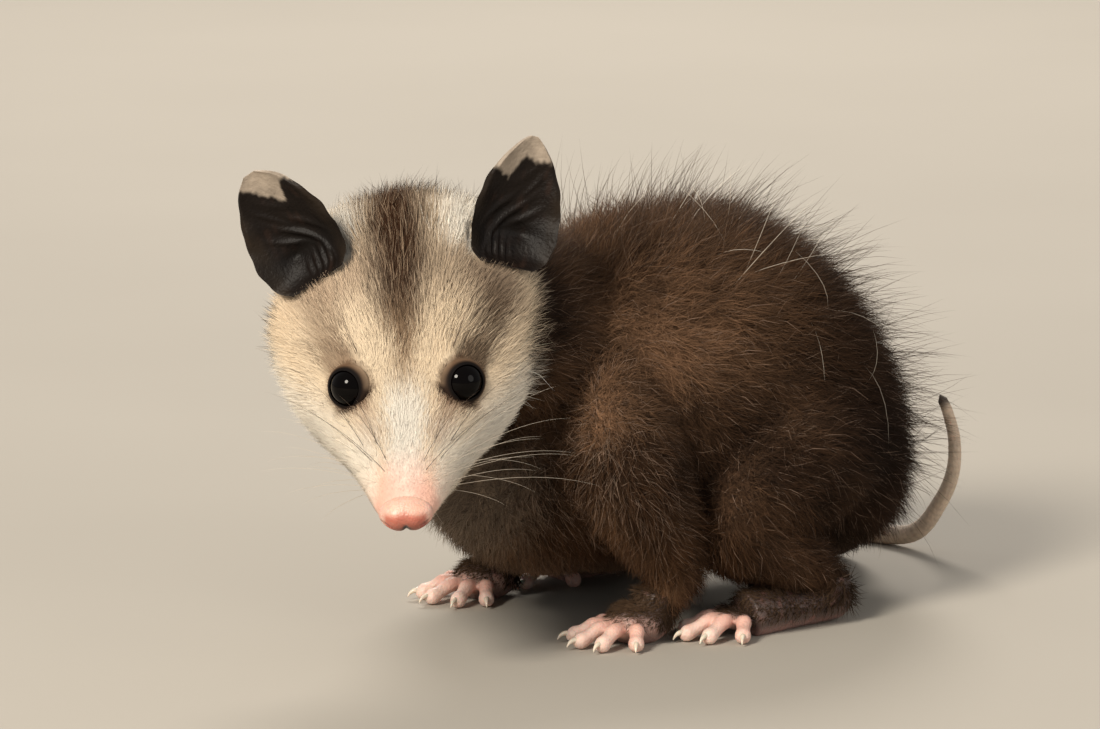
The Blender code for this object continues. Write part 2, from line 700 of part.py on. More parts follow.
    fur = material("dark_coat", (0.05, 0.035, 0.026), 0.9)
    pale = material("pale_coat", (0.62, 0.56, 0.46), 0.85)
    skin = material("pink_skin", (0.62, 0.36, 0.30), 0.55)
    black = material("black_eye", (0.004, 0.003, 0.003), 0.08)
    dark = material("ear_leather", (0.035, 0.034, 0.036), 0.6)
    kinds = {"head": pale, "lower": pale, "nose": skin, "ear": dark, "eye": black, "forefoot": skin,
             "hindfoot": skin, "tail": skin}
    for part in parts:
        part.hide_render = False
        part.display_type = "TEXTURED"
        part.data.materials.clear()
        part.data.materials.append(kinds.get(part.name.split("_")[0], fur))
        for face in part.data.polygons:
            face.material_index = 0
            face.use_smooth = part.name.startswith("eye")
    centre_on_origin(parts)
    for helper in list(shop.objects):
        bpy.data.objects.remove(helper, do_unlink=True)
    bpy.data.collections.remove(shop)


main()
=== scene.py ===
"""A young opossum, crouching with its head turned to its left, finished as a museum still.

The model's solids give the size and the place of every part. The flesh is one skin that lies inside
them by the depth of the coat's core. Over it grow the coat's tufts, and the eyes, lids, nose, ears,
feet, claws, tail and whiskers are pieces of their own. Places are written in millimetres in the
animal's layout: the chest towards -X, its left towards -Y and the floor at Z = 0.
"""

import logging
import math
from collections.abc import Callable, Sequence
from dataclasses import dataclass, field
from enum import Enum
from functools import partial

import bmesh
import bpy
import numpy as np
from mathutils import Matrix, Vector
from mathutils.kdtree import KDTree

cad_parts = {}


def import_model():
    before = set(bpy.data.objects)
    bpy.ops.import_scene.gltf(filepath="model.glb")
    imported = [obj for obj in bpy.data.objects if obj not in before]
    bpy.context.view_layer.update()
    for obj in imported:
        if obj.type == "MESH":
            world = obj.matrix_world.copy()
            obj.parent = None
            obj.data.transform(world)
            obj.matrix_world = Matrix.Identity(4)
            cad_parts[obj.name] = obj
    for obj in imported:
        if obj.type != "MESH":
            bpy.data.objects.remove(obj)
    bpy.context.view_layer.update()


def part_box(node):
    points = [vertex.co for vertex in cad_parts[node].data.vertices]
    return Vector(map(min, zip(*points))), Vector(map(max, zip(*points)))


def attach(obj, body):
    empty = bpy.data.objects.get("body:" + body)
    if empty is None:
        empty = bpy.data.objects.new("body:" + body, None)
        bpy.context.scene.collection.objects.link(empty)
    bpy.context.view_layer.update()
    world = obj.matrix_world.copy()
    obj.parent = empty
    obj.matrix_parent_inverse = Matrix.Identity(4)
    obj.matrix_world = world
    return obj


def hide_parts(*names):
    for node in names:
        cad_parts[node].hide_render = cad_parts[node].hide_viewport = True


MM = 0.001
TONE = "tone"
COAT_MAP = "OFBake"
HALF_PATCH = 0.0015
TILE_MARGIN = 0.003
MOST_TRIANGLES = 199_000
SOFTNESS = 0.72
FLOOR_GAP = 0.15
JOIN_GAP = 0.002
FULL_TURN = 2 * math.pi
ROOT_BODY = "root"

Array = np.ndarray
Spread = Callable[[Array, Array], Array]

log = logging.getLogger("opossum")


class Side(Enum):
    """The animal's own left and right, as the sign of Y in the layout."""

    LEFT = -1
    RIGHT = 1

    @property
    def word(self) -> str:
        """The side's name, as the model's nodes write it."""
        return self.name.lower()

    @property
    def of_head(self) -> int:
        """The sign of the head's own l, which points to its left."""
        return -self.value


class Slot(Enum):
    """The material slots that the finishes carry."""

    DARK_COAT = "dark_coat"
    PALE_COAT = "pale_coat"
    PINK_SKIN = "pink_skin"
    EAR_LEATHER = "ear_leather"
    TAIL_SKIN = "tail_skin"
    BLACK_EYE = "black_eye"


class Grain(Enum):
    """The kind of fine relief on a finish."""

    PORES = "pores"
    CELLS = "cells"


def tone(code: str) -> Array:
    """The linear colour of a hex code."""
    parts = np.array([int(code[i:i + 2], 16) / 255 for i in (0, 2, 4)])
    return np.where(parts <= 0.04045, parts / 12.92, ((parts + 0.055) / 1.055) ** 2.4)


def ramp(values: Array, low: float | Array, high: float | Array) -> Array:
    """A smooth step from 0 at low to 1 at high.

    Args:
        values: What is measured.
        low: Where the step starts.
        high: Where it ends, which may be below low.

    Returns:
        The share at each value.
    """
    t = np.clip((values - low) / (high - low), 0, 1)
    return t * t * (3 - 2 * t)


def blended(under: Array, over: Array, share: Array | float) -> Array:
    """Colours moved towards another by each point's share.

    Args:
        under: One colour a point.
        over: One colour, or one a point.
        share: 0 keeps under, 1 gives over.

    Returns:
        One colour a point.
    """
    share = np.asarray(share)[..., None]
    return under * (1 - share) + over * share


def layered(base: str, count: int, *coats: tuple[str, Array]) -> Array:
    """A colour with others laid over it in turn.

    Args:
        base: The hex code of the lowest colour.
        count: How many points there are.
        coats: The hex code and the share at each point of every colour over it.

    Returns:
        One colour a point.
    """
    colour = np.tile(tone(base), (count, 1))
    for code, share in coats:
        colour = blended(colour, tone(code), share)
    return colour


def mound(*measures: tuple[Array, float, float]) -> Array:
    """A smooth hill that is 1 at its centre.

    Args:
        measures: Values, the hill's centre in them and its reach.

    Returns:
        The height at each value.
    """
    return np.exp(-sum(((values - centre) / reach) ** 2 for values, centre, reach in measures))


def between(where: Array, marks: Array, rows: Array) -> Array:
    """Rows of numbers read between their marks.

    Args:
        where: Where to read.
        marks: Where each row stands.
        rows: The rows.

    Returns:
        One row for each place.
    """
    return np.stack([np.interp(where, marks, column) for column in rows.T], -1)


def nearest_row(rows: Array, points: Array) -> Array:
    """The number of the row of places that is nearest to each point.

    Args:
        rows: The places.
        points: The points.

    Returns:
        One number a point.
    """
    tree = KDTree(len(rows))
    for number, row in enumerate(rows):
        tree.insert(row, number)
    tree.balance()
    return np.array([tree.find(point)[1] for point in points])


def drift(points: Array, scale: float, seed: int) -> Array:
    """A smooth wander between about -1 and 1 over space.

    Args:
        points: Places in millimetres.
        scale: The size of a wave in millimetres.
        seed: Which wander it is.

    Returns:
        One value a point.
    """
    rng = np.random.default_rng(seed)
    total = np.zeros(len(points))
    for _ in range(7):
        way = rng.normal(size=3)
        way /= np.linalg.norm(way)
        length = scale * rng.uniform(0.6, 1.6)
        total += np.sin(points @ way * (FULL_TURN / length) + rng.uniform(0, FULL_TURN))
    return total / 3.6


def unit(vectors: Array) -> Array:
    """Each row at length 1."""
    return vectors / np.maximum(np.linalg.norm(vectors, axis=-1, keepdims=True), 1e-9)


def eased(stations: Sequence[Sequence[float]], steps: int) -> Array:
    """Stations with a smooth curve between each two.

    Args:
        stations: Rows of numbers along a body.
        steps: How many parts each gap is cut into.

    Returns:
        The finer rows.
    """
    rows = np.array([stations[0], *stations, stations[-1]], float)
    made = []
    for a, b, c, d in zip(rows, rows[1:], rows[2:], rows[3:]):
        for t in np.arange(steps) / steps:
            made.append(0.5 * (2 * b + (c - a) * t + (2 * a - 5 * b + 4 * c - d) * t ** 2
                               + (3 * b - a - 3 * c + d) * t ** 3))
    made.append(rows[-1])
    return np.array(made)


# Places


@dataclass(frozen=True)
class HeadFrame:
    """The head's own frame: n towards the nose, l to its left, t up, from between the eyes."""

    origin: tuple[float, float, float] = (-77.7, -22.3, 57.9)
    heading: float = math.radians(234)
    pitch: float = math.radians(32)
    roll: float = math.radians(4)

    @property
    def axes(self) -> Array:
        """The three directions as columns.

        Returns:
            Towards the nose, to its left and up.
        """
        flat = math.cos(self.pitch)
        forward = np.array([math.cos(self.heading) * flat, math.sin(self.heading) * flat,
                            -math.sin(self.pitch)])
        level_left = np.array([-math.sin(self.heading), math.cos(self.heading), 0.0])
        level_top = np.cross(forward, level_left)
        left = level_left * math.cos(self.roll) + level_top * math.sin(self.roll)
        top = level_top * math.cos(self.roll) - level_left * math.sin(self.roll)
        return np.stack([forward, left, top], 1)

    def out(self, local: Array) -> Array:
        """Head places in the layout."""
        return np.atleast_2d(local) @ self.axes.T + np.array(self.origin)

    def local(self, points: Array) -> Array:
        """Layout places in the head's frame."""
        return (np.atleast_2d(points) - np.array(self.origin)) @ self.axes

    def ways(self, local: Array) -> Array:
        """Head directions in the layout."""
        return np.atleast_2d(local) @ self.axes.T


HEAD_FRAME = HeadFrame()
EYE_PLACE = (0.8, 11.0, 1.2)
EYE_LOOK = (0.68, 0.46, 0.56)
EYE_RADIUS = 4.3


@dataclass(frozen=True)
class Layout:
    """Where the layout lies in the model's frame."""

    shift: tuple[float, float, float]

    @classmethod
    def from_eyes(cls) -> "Layout":
        """The layout that puts the middle between the eyes where the model's eyes have it.

        Returns:
            The layout.
        """
        corners = [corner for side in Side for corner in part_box(f"eye_{side.word}")]
        middle = sum((np.array(corner) for corner in corners), np.zeros(3)) / len(corners) / MM
        ideal = HEAD_FRAME.out(np.array([EYE_PLACE[0], 0.0, EYE_PLACE[2]]))[0]
        return cls(tuple(middle - ideal))

    def metres(self, points: Array) -> Array:
        """Layout millimetres as frame metres."""
        return (np.atleast_2d(points) + np.array(self.shift)) * MM

    def millimetres(self, points: Array) -> Array:
        """Frame metres as layout millimetres."""
        return np.atleast_2d(points) / MM - np.array(self.shift)


# Finishes


@dataclass(frozen=True)
class Finish:
    """A surface that carries its own markings, broken up by a fine mottle and a relief."""

    name: str
    slot: Slot
    roughness: float
    mottle_scale: float = 400.0
    mottle_depth: float = 0.25
    grain: Grain = Grain.PORES
    grain_scale: float = 2500.0
    grain_height: float = 0.00008
    specular: float = 0.5
    coat: float = 0.0
    coat_roughness: float = 0.1
    subsurface: float = 0.0

    def material(self) -> bpy.types.Material:
        """The finish as a material of nodes.

        Returns:
            The material.
        """
        made = bpy.data.materials.new(self.name)
        made.use_nodes = True
        nodes, links = made.node_tree.nodes, made.node_tree.links
        shader = nodes["Principled BSDF"]
        for socket, value in (("Roughness", self.roughness), ("Specular IOR Level", self.specular),
                              ("Coat Weight", self.coat), ("Coat Roughness", self.coat_roughness),
                              ("Subsurface Weight", self.subsurface), ("Subsurface Scale", 0.0015)):
            shader.inputs[socket].default_value = value
        shader.inputs["Subsurface Radius"].default_value = (1.0, 0.35, 0.22)
        markings = nodes.new("ShaderNodeAttribute")
        markings.attribute_name = TONE
        places = nodes.new("ShaderNodeTexCoord")
        mottle = nodes.new("ShaderNodeTexNoise")
        mottle.inputs["Scale"].default_value = self.mottle_scale
        mottle.inputs["Detail"].default_value = 3.0
        links.new(places.outputs["Object"], mottle.inputs["Vector"])
        spread = nodes.new("ShaderNodeMapRange")
        for socket, value in (("From Min", 0.25), ("From Max", 0.75), ("To Min", 1 - self.mottle_depth),
                              ("To Max", 1 + self.mottle_depth * 0.5)):
            spread.inputs[socket].default_value = value
        links.new(mottle.outputs["Fac"], spread.inputs["Value"])
        dress = nodes.new("ShaderNodeVectorMath")
        dress.operation = "SCALE"
        links.new(markings.outputs["Color"], dress.inputs[0])
        links.new(spread.outputs["Result"], dress.inputs["Scale"])
        links.new(dress.outputs["Vector"], shader.inputs["Base Color"])
        if self.grain_height:
            cells = self.grain is Grain.CELLS
            relief = nodes.new("ShaderNodeTexVoronoi" if cells else "ShaderNodeTexNoise")
            relief.inputs["Scale"].default_value = self.grain_scale
            links.new(places.outputs["Object"], relief.inputs["Vector"])
            bump = nodes.new("ShaderNodeBump")
            bump.inputs["Distance"].default_value = self.grain_height
            bump.invert = cells
            links.new(relief.outputs["Distance" if cells else "Fac"], bump.inputs["Height"])
            links.new(bump.outputs["Normal"], shader.inputs["Normal"])
        return made


COAT = Finish("opossum_coat", Slot.DARK_COAT, 0.75, mottle_scale=160.0, mottle_depth=0.10, grain_height=0.0,
              specular=0.15)
FACE_COAT = Finish("face_coat", Slot.PALE_COAT, 0.8, mottle_scale=220.0, mottle_depth=0.04, grain_height=0.0,
                   specular=0.12)
HIDE = Finish("opossum_hide", Slot.PALE_COAT, 0.85, mottle_depth=0.14, grain_scale=1800.0,
              grain_height=0.00015, specular=0.2)
NOSE = Finish("wet_nose", Slot.PINK_SKIN, 0.42, mottle_scale=900.0, mottle_depth=0.12, grain=Grain.CELLS,
              grain_scale=2400.0, grain_height=0.00009, coat=0.22, coat_roughness=0.25, subsurface=0.25)
PAW = Finish("paw_skin", Slot.PINK_SKIN, 0.48, mottle_scale=500.0, mottle_depth=0.15, grain=Grain.CELLS,
             grain_scale=2200.0, grain_height=0.00010, subsurface=0.2, coat=0.08, coat_roughness=0.4)
LIP = Finish("lip_skin", Slot.PINK_SKIN, 0.5, subsurface=0.1)
LEATHER = Finish("ear_leather", Slot.EAR_LEATHER, 0.5, mottle_scale=350.0, mottle_depth=0.3,
                 grain_scale=1500.0, grain_height=0.00016, specular=0.17)
TAIL = Finish("tail_scales", Slot.TAIL_SKIN, 0.55, mottle_scale=300.0, mottle_depth=0.2, grain=Grain.CELLS,
              grain_scale=1500.0, grain_height=0.00012, subsurface=0.1)
EYE = Finish("wet_eye", Slot.BLACK_EYE, 0.05, mottle_scale=300.0, mottle_depth=0.3, grain_height=0.0,
             specular=0.12)
LID = Finish("lid_rim", Slot.EAR_LEATHER, 0.8, mottle_depth=0.2, grain_scale=3500.0, grain_height=0.00004,
             specular=0.15)
CLAW = Finish("claw_horn", Slot.PALE_COAT, 0.35, mottle_scale=900.0, mottle_depth=0.2, grain_height=0.00002,
              subsurface=0.15, coat=0.2)
WHISKER = Finish("whisker", Slot.PALE_COAT, 0.4, mottle_scale=200.0, mottle_depth=0.1, grain_height=0.0)


# Making pieces


def shown(name: str, data: bpy.types.ID) -> bpy.types.Object:
    """A new object in the scene.

    Args:
        name: Its name.
        data: Its mesh, light or camera.

    Returns:
        The object.
    """
    made = bpy.data.objects.new(name, data)
    bpy.context.scene.collection.objects.link(made)
    return made


def points_of(bm: bmesh.types.BMesh) -> Array:
    """The places of a shape's points."""
    return np.array([vert.co[:] for vert in bm.verts])


def move(bm: bmesh.types.BMesh, points: Array) -> None:
    """Puts a shape's points at new places."""
    for vert, point in zip(bm.verts, points):
        vert.co = point


def lift_to_floor(bm: bmesh.types.BMesh) -> None:
    """Raises what is below the floor up to it."""
    for vert in bm.verts:
        vert.co.z = max(vert.co.z, 0.0)


def swept(columns: int, rows: int, place: Spread, closed: bool = True) -> bmesh.types.BMesh:
    """A flat grid bent to shape.

    Args:
        columns: Cells across the grid.
        rows: Cells along it.
        place: Takes each point's share across and along to its place in the layout.
        closed: Whether its sides meet, so that the seam is joined and the ends filled.

    Returns:
        The bent grid.
    """
    bm = bmesh.new()
    bmesh.ops.create_grid(bm, x_segments=columns, y_segments=rows, size=0.5)
    flat = points_of(bm) + 0.5
    move(bm, place(flat[:, 0], flat[:, 1]))
    if closed:
        bmesh.ops.remove_doubles(bm, verts=bm.verts, dist=JOIN_GAP)
        bmesh.ops.holes_fill(bm, edges=bm.edges, sides=0)
        bmesh.ops.recalc_face_normals(bm, faces=bm.faces)
    return bm


def ball(centre: Array, radii: Sequence[float], axes: Array, segments: int) -> bmesh.types.BMesh:
    """An ellipsoid in the layout.

    Args:
        centre: Its middle.
        radii: Its half sizes along the axes.
        axes: Its directions as columns.
        segments: Faces round it.

    Returns:
        The closed ball.
    """
    bm = bmesh.new()
    bmesh.ops.create_uvsphere(bm, u_segments=segments, v_segments=segments // 2, radius=1.0)
    turn = Matrix((axes * np.array(radii)).tolist()).to_4x4()
    bm.transform(Matrix.Translation(Vector(centre)) @ turn)
    bm.normal_update()
    bmesh.ops.recalc_face_normals(bm, faces=bm.faces)
    return bm


def tube(run: Array, sides: int, per_step: int = 3) -> bmesh.types.BMesh:
    """A round tube through a run of places.

    Args:
        run: Rows of place and radius.
        sides: Faces round it.
        per_step: Rings between two rows.

    Returns:
        The closed tube.
    """
    return Rope(eased(run, per_step)).grid(sides)


def joined(pieces: Sequence[bmesh.types.BMesh]) -> bmesh.types.BMesh:
    """Several bodies in one mesh, which uses them up.

    Args:
        pieces: The bodies.

    Returns:
        The one mesh.
    """
    bm = bmesh.new()
    for piece in pieces:
        mesh = bpy.data.meshes.new("part")
        piece.to_mesh(mesh)
        piece.free()
        bm.from_mesh(mesh)
        bpy.data.meshes.remove(mesh)
    return bm


def melted(bm: bmesh.types.BMesh, voxel: float, rounds: int) -> bmesh.types.BMesh:
    """Bodies that cross melted into one smooth closed one.

    Args:
        bm: The bodies, which this uses up.
        voxel: The fineness in millimetres.
        rounds: How often the result is smoothed.

    Returns:
        The one body.
    """
    mesh = bpy.data.meshes.new("melting")
    bm.to_mesh(mesh)
    bm.free()
    holder = shown("melting", mesh)
    melt = holder.modifiers.new("melt", "REMESH")
    melt.mode = "VOXEL"
    melt.voxel_size = voxel
    soften = holder.modifiers.new("soften", "SMOOTH")
    soften.factor = 0.5
    soften.iterations = rounds
    graph = bpy.context.evaluated_depsgraph_get()
    fine = bpy.data.meshes.new_from_object(holder.evaluated_get(graph))
    made = bmesh.new()
    made.from_mesh(fine)
    bpy.data.objects.remove(holder, do_unlink=True)
    bpy.data.meshes.remove(mesh)
    bpy.data.meshes.remove(fine)
    return made


class Workbench:
    """Turns finished shapes into pieces that ride on the animal."""

    def __init__(self, layout: Layout) -> None:
        """Keeps the layout and the materials made so far."""
        self.layout = layout
        self._materials: dict[str, bpy.types.Material] = {}

    def material(self, finish: Finish) -> bpy.types.Material:
        """The one material of a finish.

        Args:
            finish: The finish.

        Returns:
            The material.
        """
        if finish.name not in self._materials:
            self._materials[finish.name] = finish.material()
        return self._materials[finish.name]

    def settle(self, made: bpy.types.Object, finish: Finish,
               replaces: Sequence[str] = ()) -> bpy.types.Object:
        """Gives a piece its finish and its body, and hides the model's parts that it stands for.

        Args:
            made: The piece, in place.
            finish: Its finish.
            replaces: The nodes that it stands for.

        Returns:
            The piece.
        """
        made.data.materials.append(self.material(finish))
        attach(made, ROOT_BODY)
        if replaces:
            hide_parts(*replaces)
        log.info("%s: %d faces", made.name, len(made.data.polygons))
        return made

    def piece(self, name: str, bm: bmesh.types.BMesh, finish: Finish, colour: Callable[[Array], Array],
              replaces: Sequence[str] = ()) -> bpy.types.Object:
        """A piece from a shape in the layout.

        Args:
            name: The piece's name.
            bm: Its shape, which this uses up.
            finish: Its finish.
            colour: Its markings, from places in the layout.
            replaces: The nodes that it stands for.

        Returns:
            The piece.
        """
        points = points_of(bm)
        move(bm, self.layout.metres(points))
        mesh = bpy.data.meshes.new(name)
        bm.to_mesh(mesh)
        bm.free()
        mesh.shade_smooth()
        paint(mesh, colour(points))
        return self.settle(shown(name, mesh), finish, replaces)


def paint(mesh: bpy.types.Mesh, colours: Array) -> None:
    """Writes one colour a vertex as the piece's markings.

    Args:
        mesh: The piece's mesh.
        colours: One linear colour a vertex.
    """
    layer = mesh.color_attributes.new(TONE, "FLOAT_COLOR", "POINT")
    full = np.ones((len(colours), 4), np.float32)
    full[:, :3] = np.clip(colours, 0, 1)
    layer.data.foreach_set("color", full.ravel())


def plain(code: str) -> Callable[[Array], Array]:
    """Markings of one colour."""
    return lambda points: layered(code, len(points))


# Forms of the body


@dataclass(frozen=True)
class Oval:
    """A body of oval sections along one axis: each has a centre, a half width, a rise and a drop."""

    centres: Array
    widths: Array
    rises: Array
    drops: Array
    axis: Array
    across: Array
    up: Array

    def _along(self) -> Array:
        """How far each section lies along the axis."""
        return (self.centres - self.centres[0]) @ self.axis

    def _at(self, distance: Array) -> tuple[Array, Array, Array, Array]:
        """The centre, half width, rise and drop at each distance.

        Args:
            distance: How far along the axis.

        Returns:
            Centres, half widths, rises and drops.
        """
        along = self._along()
        sizes = (self.widths, self.rises, self.drops)
        return between(distance, along, self.centres), *(np.interp(distance, along, size) for size in sizes)

    def place(self, around: Array, share: Array) -> Array:
        """The surface at a share of the turn and of the length.

        Args:
            around: The share of the turn.
            share: The share of the length.

        Returns:
            Places on the surface.
        """
        index = share * (len(self.centres) - 1)
        steps = np.arange(len(self.centres))
        centre = between(index, steps, self.centres)
        angle = around * FULL_TURN
        wide = np.interp(index, steps, self.widths) * np.cos(angle)
        rise, drop = (np.interp(index, steps, sizes) for sizes in (self.rises, self.drops))
        high = np.where(np.sin(angle) > 0, rise, drop)
        return centre + self.across * wide[:, None] + self.up * (high * np.sin(angle))[:, None]

    def grid(self, sides: int, rows: int) -> bmesh.types.BMesh:
        """The closed form."""
        return swept(sides, rows, self.place)

    def distance(self, points: Array) -> Array:
        """About how far each point is from the surface, below 0 inside.

        Args:
            points: Places in the layout.

        Returns:
            One distance a point.
        """
        along = (points - self.centres[0]) @ self.axis
        end = self._along()[-1]
        centre, wide, rise, drop = self._at(np.clip(along, 0, end))
        off = points - centre
        y, z = off @ self.across, off @ self.up
        high = np.where(z > 0, rise, drop)
        reach = np.sqrt((y / wide) ** 2 + (z / high) ** 2)
        beyond = np.maximum(np.maximum(-along, along - end), 0)
        return (reach - 1) * np.minimum(wide, high) + beyond

    def unwrap(self, points: Array) -> Array:
        """Each point's share of the turn and of the length.

        Args:
            points: Places in the layout.

        Returns:
            Two shares a point.
        """
        along = (points - self.centres[0]) @ self.axis
        end = self._along()[-1]
        off = points - self._at(np.clip(along, 0, end))[0]
        turn = np.arctan2(off @ self.up, off @ self.across) / FULL_TURN + 0.5
        return np.stack([turn, np.clip(along / end, 0, 1)], 1)


@dataclass(frozen=True)
class Rope:
    """A round body along a bent line: rows of place and radius."""

    run: Array

    def frames(self) -> tuple[Array, Array]:
        """Two directions across the line at each row, which turn as little as they can.

        Returns:
            Across and up at each row.
        """
        ways = unit(np.gradient(self.run[:, :3], axis=0))
        first = np.cross(ways[0], (0.0, 0.0, 1.0))
        if np.linalg.norm(first) < 0.1:
            first = np.cross(ways[0], (0.0, 1.0, 0.0))
        sides = [unit(first)]
        for way in ways[1:]:
            side = sides[-1] - way * (sides[-1] @ way)
            sides.append(unit(side))
        across = np.array(sides)
        return across, np.cross(across, ways)

    def grid(self, sides: int, relief: Callable[[Array, Array], Array] | None = None) -> bmesh.types.BMesh:
        """The closed tube, with its radius changed by a relief of the turn and the row.

        Args:
            sides: Faces round it.
            relief: The factor on the radius.

        Returns:
            The tube.
        """
        across, up = self.frames()
        steps = np.arange(len(self.run))

        def place(around: Array, share: Array) -> Array:
            """The tube's surface at a share of the turn and of the length.

            Args:
                around: The share of the turn.
                share: The share of the length.

            Returns:
                Places on the surface.
            """
            angle = around * FULL_TURN
            index = share * (len(self.run) - 1)
            row, side, rise = (between(index, steps, rows) for rows in (self.run, across, up))
            radius = row[:, 3] * (relief(around, share) if relief else 1.0)
            out = side * np.cos(angle)[:, None] + rise * np.sin(angle)[:, None]
            return row[:, :3] + out * radius[:, None]

        return swept(sides, len(self.run) - 1, place)

    def distance(self, points: Array) -> Array:
        """About how far each point is from the surface, below 0 inside.

        Args:
            points: Places in the layout.

        Returns:
            One distance a point.
        """
        nearest = np.full(len(points), 1e9)
        for row in self.run:
            nearest = np.minimum(nearest, np.linalg.norm(points - row[:3], axis=1) - row[3])
        return nearest

    def unwrap(self, points: Array) -> Array:
        """Each point's share of the turn and of the length.

        Args:
            points: Places in the layout.

        Returns:
            Two shares a point.
        """
        gaps = np.stack([np.linalg.norm(points - row[:3], axis=1) - row[3] for row in self.run])
        row = gaps.argmin(0)
        across, up = self.frames()
        off = points - self.run[row, :3]
        turn = np.arctan2((off * up[row]).sum(1), (off * across[row]).sum(1)) / FULL_TURN + 0.5
        return np.stack([turn, row / (len(self.run) - 1)], 1)


@dataclass(frozen=True)
class Region:
    """A part of the body that wears the coat: its form, the coat's lie and its place on the unwrap."""

    name: str
    form: Oval | Rope
    lie: tuple[float, float, float]
    tile: tuple[float, float, float, float]


@dataclass(frozen=True)
class Anatomy:
    """The sizes of the flesh under the coat, in the layout."""

    torso: tuple = (
        (-51, 9, 33, 8, 9), (-46, 17, 35, 17, 17), (-36, 23, 38, 27, 26), (-24, 27, 40, 34, 29),
        (-10, 29.5, 41, 38, 31), (6, 31, 41, 39, 32), (20, 31.5, 39, 38, 31), (32, 30, 36, 34, 29),
        (42, 25, 31, 27, 24), (49, 15, 27, 16, 17), (51.5, 7, 26, 8, 9))
    neck: tuple = (
        (-12, 0, 44, 16, 20, 20), (-24, 0, 51, 22, 25, 24), (-36, -1, 57, 23.5, 25, 23),
        (-48, -3, 63, 22.5, 23, 21), (-57, -6, 67, 21, 21, 18), (-66, -9, 71, 12, 13, 10))
    neck_lean: tuple = (-0.88, -0.08, 0.46)
    head: tuple = (
        (31.5, 4.4, -7.0, 2.9, 2.9, 0.0), (30, 5.3, -7.2, 3.5, 3.4, 0.0), (26, 7.2, -7.8, 4.8, 4.0, 0.3),
        (20, 9.7, -8.6, 7.0, 4.2, 0.6), (14, 12.6, -9.4, 9.6, 4.2, 0.9), (8, 16.1, -10.0, 12.7, 5.8, 1.2),
        (2, 19.9, -9.6, 15.6, 9.6, 1.4), (-5, 23.8, -8.0, 18.2, 12.2, 1.8),
        (-12, 26.4, -6.2, 20.2, 13.6, 2.1), (-20, 28.2, -4.2, 22.0, 14.2, 2.4),
        (-28, 27.2, -2.4, 22.6, 13.6, 2.8), (-35, 23.0, -1.0, 20.5, 12.0, 3.0),
        (-41, 14.5, 0.0, 14.5, 9.0, 3.0))
    jaw: tuple = (
        (25.8, 1.8, -13.6, 0.9, 0.9), (24.5, 4.0, -13.8, 1.4, 1.9), (19, 6.2, -14.4, 2.4, 2.6),
        (12, 9.0, -15.2, 3.4, 3.4), (5, 11.6, -16.2, 4.0, 4.2), (-3, 12.5, -17.0, 4.0, 4.4))
    foreleg: tuple = (
        (-24, 12, 58, 5), (-26, 18, 53, 11.5), (-27, 23, 45, 14.5), (-27, 26, 35, 15), (-21, 29, 23, 12),
        (-17, 29.5, 14, 8.5), (-19, 28.5, 8, 6), (-21, 28, 4, 5))
    hindleg: tuple = (
        (38, 9, 46, 8), (34, 14, 42, 14.5), (28, 19, 37, 18), (15, 24, 33, 19.5), (-2, 29.5, 23, 14.5),
        (4, 31, 16, 11.5), (16, 32.5, 10, 8.5), (21, 33, 5, 7))
    core: float = 4.5

    def torso_form(self) -> Oval:
        """The trunk, from the chest to the rump.

        Returns:
            The form.
        """
        rows = eased(self.torso, 4)
        centres = np.stack([rows[:, 0], np.zeros(len(rows)), rows[:, 2]], 1)
        return Oval(centres, rows[:, 1], rows[:, 3], rows[:, 4],
                    np.array([1.0, 0, 0]), np.array([0, -1.0, 0]), np.array([0, 0, 1.0]))

    def neck_form(self) -> Oval:
        """The neck, from between the shoulders to the nape.

        Returns:
            The form.
        """
        rows = eased(self.neck, 3)
        along = unit(np.array(self.neck_lean))
        across = unit(np.cross((0.0, 0.0, 1.0), along))
        inset = self.core * 0.9
        return Oval(rows[:, :3], rows[:, 3] - inset, rows[:, 4] - inset, rows[:, 5] - inset, along, across,
                    np.cross(along, across))

    def head_form(self) -> Oval:
        """The head without its short fur, from the nape to the nose."""
        return self._form_in_head(self.head)

    def muzzle_side(self, n: float, t: float) -> float:
        """How far out the muzzle's surface is at a place along it and a height, in the head's frame.

        Args:
            n: The place along.
            t: The height.

        Returns:
            The distance from the middle.
        """
        rows = np.array(self.head)[::-1]
        wide, level, rise, drop, inset = (np.interp(n, rows[:, 0], rows[:, k]) for k in range(1, 6))
        high = (rise if t > level else drop) - inset
        return (wide - inset) * math.sqrt(max(1 - ((t - level) / high) ** 2, 0.05))

    def jaw_form(self) -> Oval:
        """The lower jaw, into the cheeks."""
        return self._form_in_head(self.jaw)

    @staticmethod
    def _form_in_head(stations: tuple) -> Oval:
        """A body along the head.

        Args:
            stations: Place along, half width, level, rise and drop, and the coat's depth where it has one.

        Returns:
            The body.
        """
        rows = eased(stations, 4)[::-1]
        coat = rows[:, 5] if rows.shape[1] > 5 else 0.0
        centres = HEAD_FRAME.out(np.stack([rows[:, 0], np.zeros(len(rows)), rows[:, 2]], 1))
        return Oval(centres, rows[:, 1] - coat, rows[:, 3] - coat, rows[:, 4] - coat, *HEAD_FRAME.axes.T)

    def limb_form(self, stations: tuple, side: Side) -> Rope:
        """A leg without its coat, on one side.

        Args:
            stations: The leg's places and radii on its right.
            side: On which side.

        Returns:
            The form.
        """
        rows = eased(stations, 4)
        rows[:, 1] *= side.value
        rows[:, 3] = np.maximum(rows[:, 3] - self.core * np.clip(rows[:, 3] / 12, 0.45, 1), 2.2)
        return Rope(rows)

